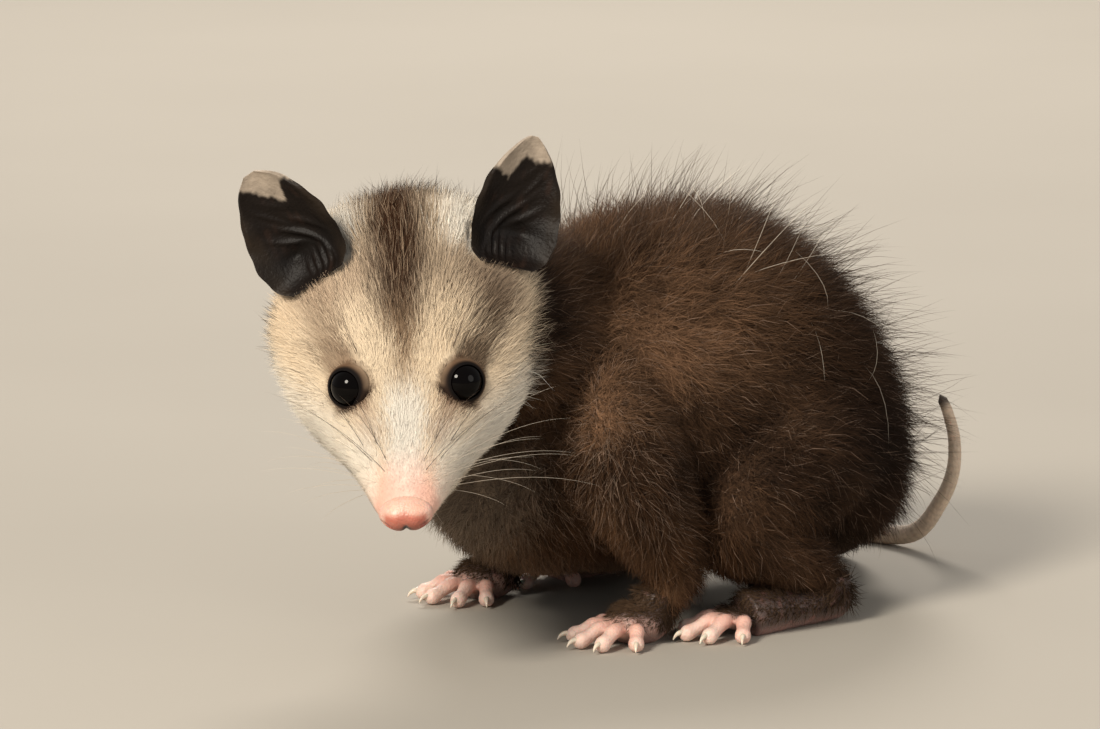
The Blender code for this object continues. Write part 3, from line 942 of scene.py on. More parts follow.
    def regions(self) -> list[Region]:
        """Every part that wears the coat.

        Returns:
            The regions.
        """
        made = [
            Region("torso", self.torso_form(), (0.85, 0.0, -0.50), (0.0, 0.0, 1.0, 0.34)),
            Region("head", self.head_form(), (0.0, 0.0, 0.0), (0.0, 0.35, 1.0, 0.30)),
            Region("neck", self.neck_form(), (0.80, 0.05, -0.50), (0.0, 0.66, 0.5, 0.16)),
        ]
        for side, shift in ((Side.LEFT, 0.0), (Side.RIGHT, 0.25)):
            made.append(Region(f"foreleg_{side.word}", self.limb_form(self.foreleg, side), (0.30, 0.0, -0.95),
                               (0.5 + shift, 0.66, 0.25, 0.16)))
            made.append(Region(f"hindleg_{side.word}", self.limb_form(self.hindleg, side), (0.60, 0.0, -0.75),
                               (2 * shift, 0.83, 0.5, 0.17)))
        return made


# Markings


@dataclass(frozen=True)
class Markings:
    """The colours of skin and coat, from the place on the animal."""

    cream: str = "eed9bc"
    white: str = "f6efe3"
    stripe: str = "3f291a"
    stripe_low: str = "7f5e3f"
    smudge: str = "6a4f3a"
    eye_ring: str = "231611"
    streak: str = "93705b"
    pink: str = "eab3a1"
    ear_grey: str = "a88e78"
    jaw: str = "dccfba"
    brown: str = "3c2818"
    brown_light: str = "84644b"
    near_black: str = "20130a"
    throat: str = "a3917f"
    belly: str = "7a6554"

    def face(self, local: Array) -> Array:
        """The face and crown.

        Args:
            local: Places in the head's frame.

        Returns:
            Their colours.
        """
        n, l, t = local[:, 0], local[:, 1], local[:, 2]
        side, its_left = np.abs(l), ramp(l, 2.0, 9.0)
        wander = drift(local, 9.0, 11)
        folded = np.stack([n, side, t], 1)
        colour = np.tile(tone(self.cream), (len(local), 1))
        colour = blended(colour, tone(self.white), ramp(-t, -1.0, 7.0) * 0.8 * ramp(side, 8, 15))
        colour = blended(colour, tone(self.white), ramp(n, 2, 9) * (1 - ramp(side, 2.4, 5.2)) * 0.9)
        colour = blended(colour, tone(self.white), ramp(n, 7, 15) * ramp(side, 4.5, 6.5) * 0.65)
        # Greyer over the forehead and in front of the ears, with a bright brow over each eye. On its left the
        # grey is stronger and darker and the brow dimmer: painted shade on that side of the head.
        ears = mound((n, -17, 7), (side, 16.5, 6.5), (t, 9, 7))
        ears += 0.55 * mound((n, -17, 7), (side, 8, 5), (t, 14, 5))
        ears = ears * (1.0 + 0.25 * wander) * (1 + 0.4 * its_left)
        dusk = tone(self.ear_grey) * (1 - 0.50 * its_left)[:, None]
        colour = blended(colour, dusk, np.clip(ears, 0, 1) * 0.85)
        brow = mound((n, -6.5, 4.0), (side, 8.2, 3.2), (t, 9.5, 4))
        pale = tone(self.cream) * (1 - 0.20 * its_left)[:, None]
        colour = blended(colour, pale, np.clip(brow * 1.3, 0, 1))
        # The smudge above each eye, back towards the ear. On its left it is stronger and darker, partly the
        # smudge itself and partly painted shade on that side.
        along = np.clip((1.0 - n) / 13, 0, 1)
        line = np.stack([1.0 - 13 * along, 12.2 + 5.6 * along, 3.2 + 5.6 * along], 1)
        off = np.linalg.norm(folded - line, axis=1)
        smudge = 1 - ramp(off, 1.8 + 0.8 * along, 6.0 - 0.6 * along)
        smudge = smudge * (1 - 0.55 * along) * (1 + 0.6 * its_left)
        dusk = tone(self.smudge) * (1 - 0.55 * its_left)[:, None]
        colour = blended(colour, dusk, np.clip(smudge * (0.95 + 0.25 * wander), 0, 1) * 0.9)
        # The streak from each eye to the muzzle, stronger on its left as painted shade.
        run = np.clip((n - 3) / 11, 0, 1)
        streak_line = np.stack([3 + 11 * run, 9.3 - 3.4 * run, 0.2 - 2.4 * run], 1)
        off = np.linalg.norm(folded - streak_line, axis=1)
        streak = (1 - ramp(off, 0.4, 3.6)) * (0.80 + 0.20 * its_left) * (1 - 0.5 * run)
        colour = blended(colour, tone(self.streak), streak)
        # The bare pink of the muzzle's end.
        pink = ramp(n + 0.9 * wander, 15.5, 27.5)
        sides = 1 - 0.7 * ramp(side, 4.8, 7.0) * (1 - ramp(n, 25, 28))
        pink *= (0.75 + 0.25 * ramp(side, 0.6, 2.6)) * sides
        colour = blended(colour, tone(self.pink), pink * (0.50 + 0.35 * ramp(t, -12, -5)))
        # The stripe from the crown to a point between the eyes.
        middle = np.interp(n, (-33, -22, -11, 7), (-2.0, -1.0, -0.5, -0.2))
        wide = np.interp(n, (-36, -30, -22, -11, -3.7, 3, 8), (8.2, 7.0, 6.6, 5.0, 2.6, 1.3, 0.3))
        edge = 1 - ramp(np.abs(l - middle) + 0.5 * wander, wide * 0.25, wide * 1.6 + 0.4)
        deep = np.interp(n, (-22, -12, -3, 4, 9), (1.0, 0.97, 0.82, 0.48, 0.0))
        dark = blended(np.tile(tone(self.stripe_low), (len(local), 1)), tone(self.stripe), ramp(-n, -2, 14))
        colour = blended(colour, dark, edge * deep * ramp(t, 0.0, 4.0))
        # White patches at the inner bases of the ears. The one on its right is dimmed to grey: painted shadow
        # of the ear.
        for centre in ((-27.0, -13.2, 17.0), (-27.5, 11.0, 18.2)):
            off = np.linalg.norm((local - np.array(centre)) / np.array([8.0, 4.9, 9.0]), axis=1)
            shade = tone(self.white) * (1 - 0.30 * ramp(-l, 2.0, 6.0))[:, None]
            colour = blended(colour, shade, (1 - ramp(off + 0.12 * wander, 0.65, 1.15)) * 0.97)
        # The dark rims of the eyes, narrow round the opening and drawn out a little towards the nose.
        off = folded - np.array(EYE_PLACE)
        look = unit(np.array(EYE_LOOK))
        height = off @ look
        off = off - height[:, None] * look + np.array([-0.2, 0.3, 0.1]) * (0.2 + 0.8 * its_left)[:, None]
        reach = np.linalg.norm(off, axis=1) - 1.2 * ramp(off @ unit(np.array([0.8, -0.45, -0.5])), 2.0, 4.6)
        near = ramp(height, -2.0, 0.0) * (1 - ramp(height, 8.0, 10.0))
        reach = reach + 0.2 * wander
        colour = blended(colour, tone(self.smudge), (1 - ramp(reach, 4.3, 5.9)) * near * 0.8)
        colour = blended(colour, tone(self.eye_ring), (1 - ramp(reach, 3.8, 4.9)) * near * 0.95)
        # The jaw and chin.
        return blended(colour, tone(self.jaw), ramp(-t, 12.0, 16.0) * ramp(-n, -24, -14) * 0.7)

    def body(self, points: Array) -> Array:
        """The trunk, neck and legs.

        Args:
            points: Places in the layout.

        Returns:
            Their colours.
        """
        x, y, z = points.T
        wander = drift(points, 22.0, 21)
        colour = np.tile(tone(self.brown), (len(points), 1))
        # Lighter in random patches and over the middle of the flank. The patch on the shoulder is a painted
        # highlight.
        light = ramp(drift(points + 7, 17.0, 22) * 0.5 + 0.5, 0.2, 1.0) * 0.42
        flank = mound((x, -10, 22), (z, 63, 13)) * 0.85
        shoulder_highlight = mound((x, -36, 11), (z, 53, 8)) * 0.34
        share = np.clip(light + flank + shoulder_highlight, 0, 1) * (0.85 + 0.15 * wander)
        colour = blended(colour, tone(self.brown_light), np.clip(share, 0, 1))
        # Darker over the rump, low on the hind quarter and beside the head: painted shade, where the body
        # turns from the light and lies in the head's shadow.
        rump = ramp(x, 4, 36) * 0.52
        thigh_shade = ramp(x, -22, 2) * (1 - ramp(z, 34, 60)) * 0.5
        nape = ramp(-x, 33, 43) * ramp(z, 56, 64) + 0.6 * ramp(z, 76, 92) * ramp(-x, -6, 10)
        colour = blended(colour, tone(self.near_black), np.clip(rump + thigh_shade + nape, 0, 0.92))
        colour = colour * (1 + 0.34 * drift(points, 9.0, 23))[:, None].clip(0.5, 1.6)
        # Lighter low on the body: painted light that lifts the shade falling there.
        colour = colour * (1 + 0.8 * (1 - ramp(z, 16, 36)))[:, None]
        throat = ramp(-x, 40, 52) * (1 - ramp(z, 34, 48)) * ramp(z, 6, 14)
        colour = blended(colour, tone(self.throat), throat * 0.8)
        belly = (1 - ramp(z, 9, 20)) * (1 - ramp(np.abs(y), 12, 22)) * ramp(-x, -44, -30)
        return blended(colour, tone(self.belly), belly * 0.8)

    @staticmethod
    def head_share(local: Array) -> Array:
        """How far each place belongs to the pale head, from places in the head's frame.

        Args:
            local: Places in the head's frame.

        Returns:
            One share a place.
        """
        n, side, t = local[:, 0], np.abs(local[:, 1]), local[:, 2]
        edge = np.interp(t, (-24, -18, -14, -11, -5.7, -2.2, 0.5, 2.0, 4.0, 8.0),
                         (-10.5, -10.8, -12, -13, -14.5, -16.5, -19.5, -24, -30, -36))
        # On its left the pale edge lies further forward and softer, so that the back of that cheek wears the
        # body's dark coat: painted shade along that side's outline.
        its_left = ramp(local[:, 1], -8, 8)
        edge = edge + (0.3 + 5.0 * its_left) * (1 - ramp(t, 2, 9))
        place = n + 0.8 * drift(local, 9.0, 31)
        share = ramp(place, edge - 1.5 - 2.0 * its_left, edge + 2.5 + 2.0 * its_left)
        nape = 1 - ramp(np.abs(local[:, 1] + 1.5), 8, 14)
        return share * (1 - nape * ramp(-n, 31, 36)) * (1 - ramp(side, 34, 40)) * (1 - ramp(-t, 21, 26))

    def at(self, points: Array) -> Array:
        """The markings of skin and coat alike, from places in the layout."""
        local = HEAD_FRAME.local(points)
        return blended(self.body(points), self.face(local), self.head_share(local))


MARKINGS = Markings()


# The skin


@dataclass
class Hide:
    """The one skin of trunk, neck, head and legs."""

    anatomy: Anatomy = field(default_factory=Anatomy)
    voxel: float = 0.85
    smoothing: int = 6
    opening: float = 4.1
    lid_depth: float = 0.62
    hollow_depth: float = 0.9
    hollow_reach: float = 2.5

    def build(self, bench: Workbench) -> bpy.types.Object:
        """Melts the forms into one skin and shapes the eyes' hollows.

        Args:
            bench: Where pieces are finished.

        Returns:
            The skin.
        """
        a = self.anatomy
        forms = [a.torso_form().grid(48, 44), a.neck_form().grid(40, 20), a.head_form().grid(56, 60),
                 a.jaw_form().grid(32, 30)]
        for side in Side:
            forms += [a.limb_form(a.foreleg, side).grid(28), a.limb_form(a.hindleg, side).grid(28)]
        bm = melted(joined(forms), self.voxel, self.smoothing)
        self._hollow_eyes(bm)
        nodes = ["torso", "neck", "head", "lower_jaw"]
        nodes += [f"{leg}_{side.word}" for leg in ("foreleg", "hindleg") for side in Side]
        return bench.piece("opossum_skin", bm, HIDE, MARKINGS.at, nodes)

    def _hollow_eyes(self, bm: bmesh.types.BMesh) -> None:
        """Moves the skin off each eyeball, outwards as a lid or inwards behind the opening.

        Args:
            bm: The skin.
        """
        for side in Side:
            centre, look = eye_stand(side)
            for vert in bm.verts:
                off = np.array(vert.co) - centre
                reach = np.linalg.norm(off)
                if reach > EYE_RADIUS + self.hollow_reach:
                    continue
                way = off / reach
                height = off @ look
                away = np.linalg.norm(off - look * height)
                if height > 0 and away < self.opening:
                    vert.co = centre + way * min(reach, EYE_RADIUS - self.hollow_depth)
                elif reach < EYE_RADIUS + self.lid_depth:
                    vert.co = centre + way * (EYE_RADIUS + self.lid_depth)


def eye_stand(side: Side) -> tuple[Array, Array]:
    """An eye's middle and the way it looks, in the layout.

    Args:
        side: On which side.

    Returns:
        The middle and the look.
    """
    sign = side.of_head
    centre = HEAD_FRAME.out(np.array([EYE_PLACE[0], sign * EYE_PLACE[1], EYE_PLACE[2]]))[0]
    look = HEAD_FRAME.ways(unit(np.array(EYE_LOOK) * (1, sign, 1)))[0]
    return centre, look


@dataclass
class Eyes:
    """The black, wet eyes in their dark lids."""

    opening: float = 51.0
    corner: float = 11.0
    far_edge: float = 84.0
    rim: float = 0.15
    thickness: float = 0.27

    def build(self, bench: Workbench) -> None:
        """Makes both eyes and their lids.

        Args:
            bench: Where pieces are finished.
        """
        for side in Side:
            centre, look = eye_stand(side)
            up = unit(HEAD_FRAME.axes[:, 2] - look * (HEAD_FRAME.axes[:, 2] @ look))
            axes = np.stack([np.cross(up, look), up, look], 1)
            globe = ball(centre, (EYE_RADIUS, EYE_RADIUS, EYE_RADIUS), axes, 64)
            bench.piece(f"eyeball_{side.word}", globe, EYE, plain("040202"), [f"eye_{side.word}"])
            bench.piece(f"lids_{side.word}", self._lids(centre, axes), LID,
                        lambda points, centre=centre, look=look: self._lid_colour(points, centre, look))

    def _lids(self, centre: Array, axes: Array) -> bmesh.types.BMesh:
        """A closed shell over the ball, with an opening drawn out a little towards the nose.

        Args:
            centre: The ball's middle.
            axes: Across, up and the way it looks, as columns.

        Returns:
            The shell.
        """
        nose_way = HEAD_FRAME.ways(np.array([0.9, 0.0, -0.45]))[0] @ axes
        corner_turn = math.atan2(nose_way[1], nose_way[0])

        def place(around: Array, section: Array) -> Array:
            """The shell's surface, whose section goes out over its face and back under it.

            Args:
                around: The share of the turn round the eye.
                section: The share of the turn round the shell's section.

            Returns:
                Places on the shell.
            """
            turn = around * FULL_TURN
            gap = np.angle(np.exp(1j * (turn - corner_turn)))
            edge = self.opening + self.corner * mound((gap, 0.0, 0.30)) - 2.0 * np.clip(np.sin(turn), 0, 1)
            spin = section * FULL_TURN
            share = (1 - np.cos(spin)) / 2
            polar = np.radians(edge + (self.far_edge - edge) * share)
            half = self.rim + (self.thickness - self.rim) * ramp(share, 0.0, 0.35)
            reach = EYE_RADIUS + 0.07 + half + half * np.sin(spin)
            flat = np.stack([np.sin(polar) * np.cos(turn), np.sin(polar) * np.sin(turn), np.cos(polar)], 1)
            return centre + (flat * reach[:, None]) @ axes.T

        bm = swept(72, 28, place, closed=False)
        bmesh.ops.remove_doubles(bm, verts=bm.verts, dist=JOIN_GAP)
        bmesh.ops.recalc_face_normals(bm, faces=bm.faces)
        return bm

    def _lid_colour(self, points: Array, centre: Array, look: Array) -> Array:
        """Nearly black at the rim, the fur's colour beyond.

        Args:
            points: Places in the layout.
            centre: The ball's middle.
            look: The way it looks.

        Returns:
            Their colours.
        """
        off = points - centre
        polar = np.degrees(np.arccos(np.clip((off @ look) / np.linalg.norm(off, axis=1), -1, 1)))
        dark = np.tile(tone("0b0605"), (len(points), 1))
        return blended(dark, MARKINGS.at(points), ramp(polar, self.opening + 3, self.opening + 13))


@dataclass
class Muzzle:
    """The nose pad and the lips."""

    place: tuple[float, float, float] = (30.0, 0.0, -6.8)
    half_sizes: tuple[float, float, float] = (3.3, 5.4, 3.6)
    nostril: tuple[float, float, float] = (2.0, 4.0, -1.0)

    def build(self, bench: Workbench) -> None:
        """Makes the pad and both lips.

        Args:
            bench: Where pieces are finished.
        """
        bench.piece("nose_pad", self._pad(), NOSE, self._pad_colour, ["nose"])
        for side in Side:
            bench.piece(f"lip_{side.word}", self._lip(side), LIP, plain("b98d80"))

    def _pad(self) -> bmesh.types.BMesh:
        """The pad: broad, with a groove below its middle and a nostril on each side.

        Returns:
            The pad.
        """
        centre = HEAD_FRAME.out(np.array(self.place))[0]
        bm = ball(centre, self.half_sizes, HEAD_FRAME.axes, 96)
        points = HEAD_FRAME.local(points_of(bm))
        off = points - np.array(self.place)
        n, l, t = off.T
        points[:, 2] -= 0.45 * ramp(t, 1.0, 3.2) * ramp(n, -1.5, 1.5) * (1 - 0.5 * (l / 5) ** 2)
        points[:, 0] += 0.30 * mound((np.abs(l), 2.3, 1.5)) * ramp(n, 0, 2.2)
        points[:, 0] -= 0.60 * mound((l, 0.0, 0.42)) * ramp(n, 0.0, 1.6) * ramp(-t, -0.4, 1.4)
        points[:, 2] += 0.55 * mound((l, 0.0, 0.9)) * ramp(-t, 1.8, 3.2)
        for sign in (-1, 1):
            slot = self._slot(off, sign)
            depth = np.exp(-(slot ** 2).sum(1))
            points -= depth[:, None] * np.array([0.75, sign * 0.9, 0.0])
            rim = np.exp(-((np.linalg.norm(slot, axis=1) - 1.5) ** 2) * 5)
            points += rim[:, None] * np.array([0.10, sign * 0.10, 0.02])
        move(bm, HEAD_FRAME.out(points))
        bm.normal_update()
        return bm

    def _slot(self, off: Array, sign: int) -> Array:
        """Where each place lies in a nostril, whose edge is about 1 away.

        Args:
            off: Places from the pad's middle.
            sign: Which nostril.

        Returns:
            Scaled places.
        """
        slot = (off - np.array(self.nostril) * (1, sign, 1)) / np.array([1.25, 0.95, 0.62])
        slot[:, 2] += 0.55 * slot[:, 0]
        return slot

    def _pad_colour(self, points: Array) -> Array:
        """Pink, paler on top, partly its pale skin and partly a painted highlight; darker low and, as painted
        shade, towards its left; nearly black in the nostrils and the groove, painted shade in these openings.

        Args:
            points: Places in the layout.

        Returns:
            Their colours.
        """
        off = HEAD_FRAME.local(points) - np.array(self.place)
        n, l, t = off.T
        groove = mound((l, 0.0, 0.32 + 0.70 * ramp(-t, 0.2, 1.6))) * ramp(n, 0.2, 1.0) * ramp(-t, 0.1, 0.9)
        nostrils = [("2c100f", 1 - ramp((self._slot(off, sign) ** 2).sum(1), 0.35, 1.1)) for sign in (-1, 1)]
        # Painted highlight on the pale top, painted shade towards its left and in the nostrils and the
        # groove.
        return layered("c47563", len(points),
                       ("99503f", ramp(0.25 * l - t, -0.6, 1.8) * 0.8),
                       ("e4b7a4", ramp(t + 0.20 * np.abs(l), 1.6, 2.9)),
                       ("e8bcab", ramp(np.abs(l), 3.6, 4.7) * ramp(t, -2.6, -0.8) * 0.9),
                       ("2a0f0d", np.clip(groove * 1.3, 0, 1)), *nostrils)

    def _lip(self, side: Side) -> bmesh.types.BMesh:
        """The upper lip's edge, along the mouth.

        Args:
            side: On which side.

        Returns:
            The lip.
        """
        angle = math.radians(-62)
        run = []
        for n, wide, level, _, drop, inset in eased(Anatomy().head, 4):
            if 4.0 < n < 29.0:
                fade = min(1.0, (n - 4.0) / 5.0) * min(1.0, (29.4 - n) / 3)
                run.append((n, side.of_head * (wide - inset) * math.cos(angle),
                            level + (drop - inset) * math.sin(angle), 0.62 * max(fade, 0.15)))
        rows = np.array(run)
        rows[:, :3] = HEAD_FRAME.out(rows[:, :3])
        return Rope(rows).grid(12)


@dataclass(frozen=True)
class EarShape:
    """One ear: its frame in the head, its length, the leaf's stations and its white tip's edge.

    A station is the share of the length, the half width and how deep the cup lies behind its rim.
    The white starts at a share of the length for each place across.
    """

    root: tuple[float, float, float]
    stands: tuple[float, float, float]
    opens: tuple[float, float, float]
    length: float
    stations: tuple
    white: tuple
    fold_way: int

    def axes(self) -> Array:
        """Across, out of the cup and along, as columns in the layout.

        Returns:
            The three directions.
        """
        stands = unit(HEAD_FRAME.ways(np.array(self.stands))[0])
        opens = HEAD_FRAME.ways(np.array(self.opens))[0]
        opens = unit(opens - stands * (opens @ stands))
        return np.stack([np.cross(stands, opens), opens, stands], 1)

    def local(self, points: Array) -> Array:
        """Layout places as across, out and along."""
        return (points - HEAD_FRAME.out(np.array(self.root))[0]) @ self.axes()

    def hides(self, points: Array) -> Array:
        """Whether each place lies over the cup, where no fur may reach.

        Args:
            points: Places in the layout.

        Returns:
            One answer a place.
        """
        across, out, along = self.local(points).T
        rows = np.array(self.stations)
        half = np.interp(along / self.length, rows[:, 0], rows[:, 1])
        return (along > 0.4) & (along < self.length) & (np.abs(across) < half - 0.3) & (out > -5) & (out < 6)


LEFT_EAR = EarShape(
    (-22.6, 20.7, 11.6), (-0.641, 0.261, 0.722), (0.70, 0.38, 0.60), 26.0,
    ((-0.03, 5.5, 0.6), (0.06, 8.2, 3.4), (0.20, 9.0, 4.6), (0.34, 9.2, 4.6), (0.47, 8.8, 4.0),
     (0.60, 8.0, 3.2), (0.75, 6.3, 2.4), (0.87, 4.2, 1.5), (0.95, 2.4, 0.8), (1.0, 0.8, 0.3)),
    ((-7.3, 0.68), (-3.5, 0.65), (-2.9, 0.62), (-1.1, 0.77), (-0.4, 0.81), (2.0, 0.785), (4.7, 0.795)), 1)
RIGHT_EAR = EarShape(
    (-19.7, -17.8, 12.7), (-0.546, -0.503, 0.670), (0.70, -0.38, 0.60), 24.8,
    ((-0.03, 6.5, 0.6), (0.06, 9.0, 3.4), (0.20, 10.1, 4.8), (0.37, 10.2, 4.8), (0.50, 9.6, 4.2),
     (0.62, 8.7, 3.4), (0.74, 7.4, 2.6), (0.84, 6.0, 1.8), (0.93, 4.0, 1.0), (1.0, 1.6, 0.3)),
    ((-4.9, 0.91), (-3.4, 0.885), (-1.6, 0.80), (0.7, 0.71), (2.6, 0.62), (3.6, 0.74), (4.4, 0.80),
     (5.5, 0.80), (8.8, 0.70)), -1)
EARS = {Side.LEFT: LEFT_EAR, Side.RIGHT: RIGHT_EAR}


@dataclass
class Ears:
    """The thin, cupped, dark ears with their folds and pale tips."""

    half_thickness: float = 0.34
    cells_round: int = 128
    cells_along: int = 110

    def build(self, bench: Workbench) -> None:
        """Makes both ears.

        Args:
            bench: Where pieces are finished.
        """
        for side, ear in EARS.items():
            axes, root = ear.axes(), HEAD_FRAME.out(np.array(ear.root))[0]
            bm = swept(self.cells_round, self.cells_along,
                       lambda u, v: self._leaf(u, v, ear) @ axes.T + root)
            bench.piece(f"ear_leaf_{side.word}", bm, LEATHER, lambda points: self._colour(points, ear),
                        [f"ear_{side.word}"])

    def _leaf(self, u: Array, v: Array, ear: EarShape) -> Array:
        """The leaf as a closed thin body: across, out of the cup, along.

        Args:
            u: The share of the turn round it.
            v: The share along it.
            ear: Which ear.

        Returns:
            Places.
        """
        rows = eased(ear.stations, 8)
        share = rows[0, 0] + (rows[-1, 0] - rows[0, 0]) * v
        half = np.interp(share, rows[:, 0], rows[:, 1])
        depth = np.interp(share, rows[:, 0], rows[:, 2])
        angle = u * FULL_TURN
        w = np.cos(angle)
        out = -depth * (1 - w ** 2) + self._folds(w, share, ear) * ramp(depth, 0.3, 2.0)
        thick = self.half_thickness * (0.75 + 0.5 * ramp(-share, -0.25, 0.0))
        out += thick * np.sign(np.sin(angle)) * np.sqrt(np.clip(1 - w ** 6, 0, 1))
        out -= 0.7 * ramp(np.abs(w), 0.86, 1.0) * ramp(share, 0.25, 0.6)
        wave = 0.22 * np.sin(share * 19 + 2.5 * w + ear.fold_way) * ramp(np.abs(w), 0.45, 0.95)
        edge = 1 + 0.012 * np.sin(share * 31 + ear.fold_way)
        return np.stack([half * w * edge, out + wave, ear.length * share], 1)

    def _folds(self, w: Array, share: Array, ear: EarShape) -> Array:
        """How far the folds of the cup stand out.

        Args:
            w: The place across, from -1 to 1.
            share: The share of the length.
            ear: Which ear.

        Returns:
            The rise at each place.
        """
        inside = 1 - ramp(np.abs(w), 0.55, 0.9)
        w = w * ear.fold_way
        high = np.zeros(len(w))
        for start, slope, bow, size, rise, middle, reach in (
                (0.30, 0.30, -0.10, 0.030, 0.50, 0.25, 0.35), (0.41, 0.42, -0.25, 0.036, 0.85, -0.15, 0.45),
                (0.50, 0.28, 0.10, 0.026, 0.40, 0.30, 0.28), (0.57, 0.40, -0.10, 0.034, 0.45, -0.30, 0.30),
                (0.66, 0.15, 0.20, 0.040, 0.25, 0.10, 0.40)):
            line = share - start - slope * w - bow * w ** 2 - 0.016 * np.sin(7 * w + 9 * start)
            high += rise * mound((line, 0.0, size), (w, middle, reach))
        for place, size, rise in (((-0.42, 0.12), (0.055, 0.075), 0.85), ((-0.24, 0.11), (0.055, 0.085), 1.0),
                                  ((-0.05, 0.10), (0.055, 0.075), 0.85), ((0.13, 0.09), (0.05, 0.06), 0.6)):
            high += rise * mound((w, place[0], size[0]), (share, place[1], size[1]))
        high -= 0.9 * mound((w, 0.30, 0.22), (share, 0.24, 0.06))
        return high * inside

    def _colour(self, points: Array, ear: EarShape) -> Array:
        """Charcoal, with a ragged pale tip, faint veins and painted shade deep in the cup.

        Args:
            points: Places in the layout.
            ear: Which ear.

        Returns:
            Their colours.
        """
        local = ear.local(points)
        across, _, along = local.T
        share = along / ear.length
        rows = np.array(ear.white)
        ragged = 0.016 * drift(local, 3.0, 41) + 0.012 * drift(local, 1.1, 43)
        start = np.interp(across, rows[:, 0], rows[:, 1]) + ragged
        veins = ramp(drift(local * np.array([1.0, 1.0, 0.45]), 2.6, 45), 0.35, 1.2)
        # Darkest low in the cup, where it is deepest: painted shade.
        return layered("140d09", len(local), ("2f2019", veins * 0.5),
                       ("33291f", ramp(np.abs(across) - 5.5, 0.0, 3.0) * 0.5),
                       ("0c0908", mound((share, 0.24, 0.16)) * 0.6),
                       ("a89a8b", ramp(share, start, start + 0.06)))


# Feet and tail


@dataclass(frozen=True)
class Foot:
    """One foot: the pads as a run or a ball, the stub under the coat, the digits' tips."""

    name: str
    pads: tuple
    stub: tuple
    tips: tuple
    knuckle_back: float
    clawless: int = -1
    palm_radii: tuple = ()


FOREFOOT = Foot("forefoot", ((-24.5, 27.5, 3.8, 5.0),), (-20, 28, 8.7, 4.6),
                ((-30.5, 18.5), (-36, 21), (-38.5, 27), (-37, 32.5), (-31, 36)), 4.5,
                palm_radii=(6.8, 6.0, 4.4))
HINDFOOT = Foot("hindfoot", ((24.5, 33, 4.4, 2.6), (21.5, 33, 4.6, 4.4), (12, 33.6, 4.0, 4.2),
                             (2, 34, 3.9, 4.9), (-2, 34, 3.6, 5.0)), (20.5, 33, 8.7, 5.2),
                ((-4, 24.5), (-13.5, 28.5), (-16.5, 33.5), (-14.5, 38.5), (-8.5, 42)), 3.0, clawless=0)


@dataclass
class Feet:
    """The four pink feet with their digits and claws."""

    voxel: float = 0.42
    smoothing: int = 5
    digit_radius: float = 1.75
    palm_height: float = 3.6

    def build(self, bench: Workbench) -> list[bpy.types.Object]:
        """Makes each foot and its claws, and gives back the feet.

        Args:
            bench: Where pieces are finished.

        Returns:
            The feet.
        """
        made = []
        for foot in (FOREFOOT, HINDFOOT):
            for side in Side:
                name = f"{foot.name}_{side.word}"
                flesh, claws = self._parts(foot, side)
                bm = melted(joined(flesh), self.voxel, self.smoothing)
                lift_to_floor(bm)
                colour = partial(self._colour, foot=foot, side=side)
                made.append(bench.piece(f"paw_{name}", bm, PAW, colour, [name]))
                bench.piece(f"claws_{name}", joined(claws), CLAW, plain("e4d6c4"))
        return made

    def _parts(self, foot: Foot, side: Side) -> tuple[list, list]:
        """The bodies of one foot, and its claws.

        Args:
            foot: Which foot.
            side: On which side.

        Returns:
            The flesh and the claws.
        """
        sign = side.value
        if foot.palm_radii:
            x, y, z, _ = foot.pads[0]
            flesh = [ball(np.array([x, sign * y, z]), foot.palm_radii, np.eye(3), 32)]
        else:
            flesh = [tube(np.array([(x, sign * y, z, r) for x, y, z, r in foot.pads]), 24)]
        x, y, z, r = foot.stub
        flesh.append(tube(np.array([(x, sign * y, z + 1.0, r - 0.6), (x - 0.8, sign * y, z - 2.0, r - 0.4),
                                    (x - 1.5, sign * y, z - 3.5, r - 0.6)]), 20))
        palm = np.array([foot.pads[-1][0], sign * foot.pads[-1][1], self.palm_height])
        claws = []
        for number, (tip_x, tip_y) in enumerate(foot.tips):
            tip = np.array([tip_x, sign * tip_y, self.digit_radius])
            way = unit(tip - palm)
            start = palm + way * foot.knuckle_back
            joints = [(*start, 2.0)]
            for share, rise, radius in ((0.3, 1.0, 1.55), (0.52, 1.35, 1.7), (0.76, 0.55, 1.42)):
                joints.append((*(start + (tip - start) * share + (0, 0, rise)), radius))
            joints += [(*tip, self.digit_radius), (*(tip + way), 1.2)]
            flesh.append(tube(np.array(joints), 16))
            radii = (self.digit_radius, self.digit_radius, 1.6)
            flesh.append(ball(tip - np.array([0, 0, 0.15]), radii, np.eye(3), 16))
            if number != foot.clawless:
                base = tip + way * 0.7
                horn = [(*(base + way * ahead + (0, 0, rise)), radius) for ahead, rise, radius in
                        ((0.0, 0.25, 0.66), (1.1, 0.55, 0.55), (2.1, 0.2, 0.34), (2.7, -0.55, 0.10))]
                claws.append(tube(np.array(horn), 10))
        return flesh, claws

    def _colour(self, points: Array, foot: Foot, side: Side) -> Array:
        """Pink and white digits, with a dusky hand, wrist and heel.

        Args:
            points: Places in the layout.
            foot: Which foot.
            side: On which side.

        Returns:
            Their colours.
        """
        palm = np.array([foot.pads[-1][0], side.value * foot.pads[-1][1], self.palm_height])
        reach = np.linalg.norm((points - palm)[:, :2], axis=1) * (1 - ramp(points[:, 0] - palm[0], 0.5, 3.5))
        return layered("5d4b46", len(points), ("8d6e68", 1 - ramp(points[:, 2], 0.8, 2.6)),
                       ("e3b5a6", ramp(reach, 4.5, 8.0)), ("f3d6c9", ramp(reach, 9.0, 13.0) * 0.8),
                       ("42342f", ramp(points[:, 2], 5.0, 8.0) * 0.8),
                       ("c08478", ramp(drift(points, 3.0, 51), 0.2, 1.2) * 0.3))


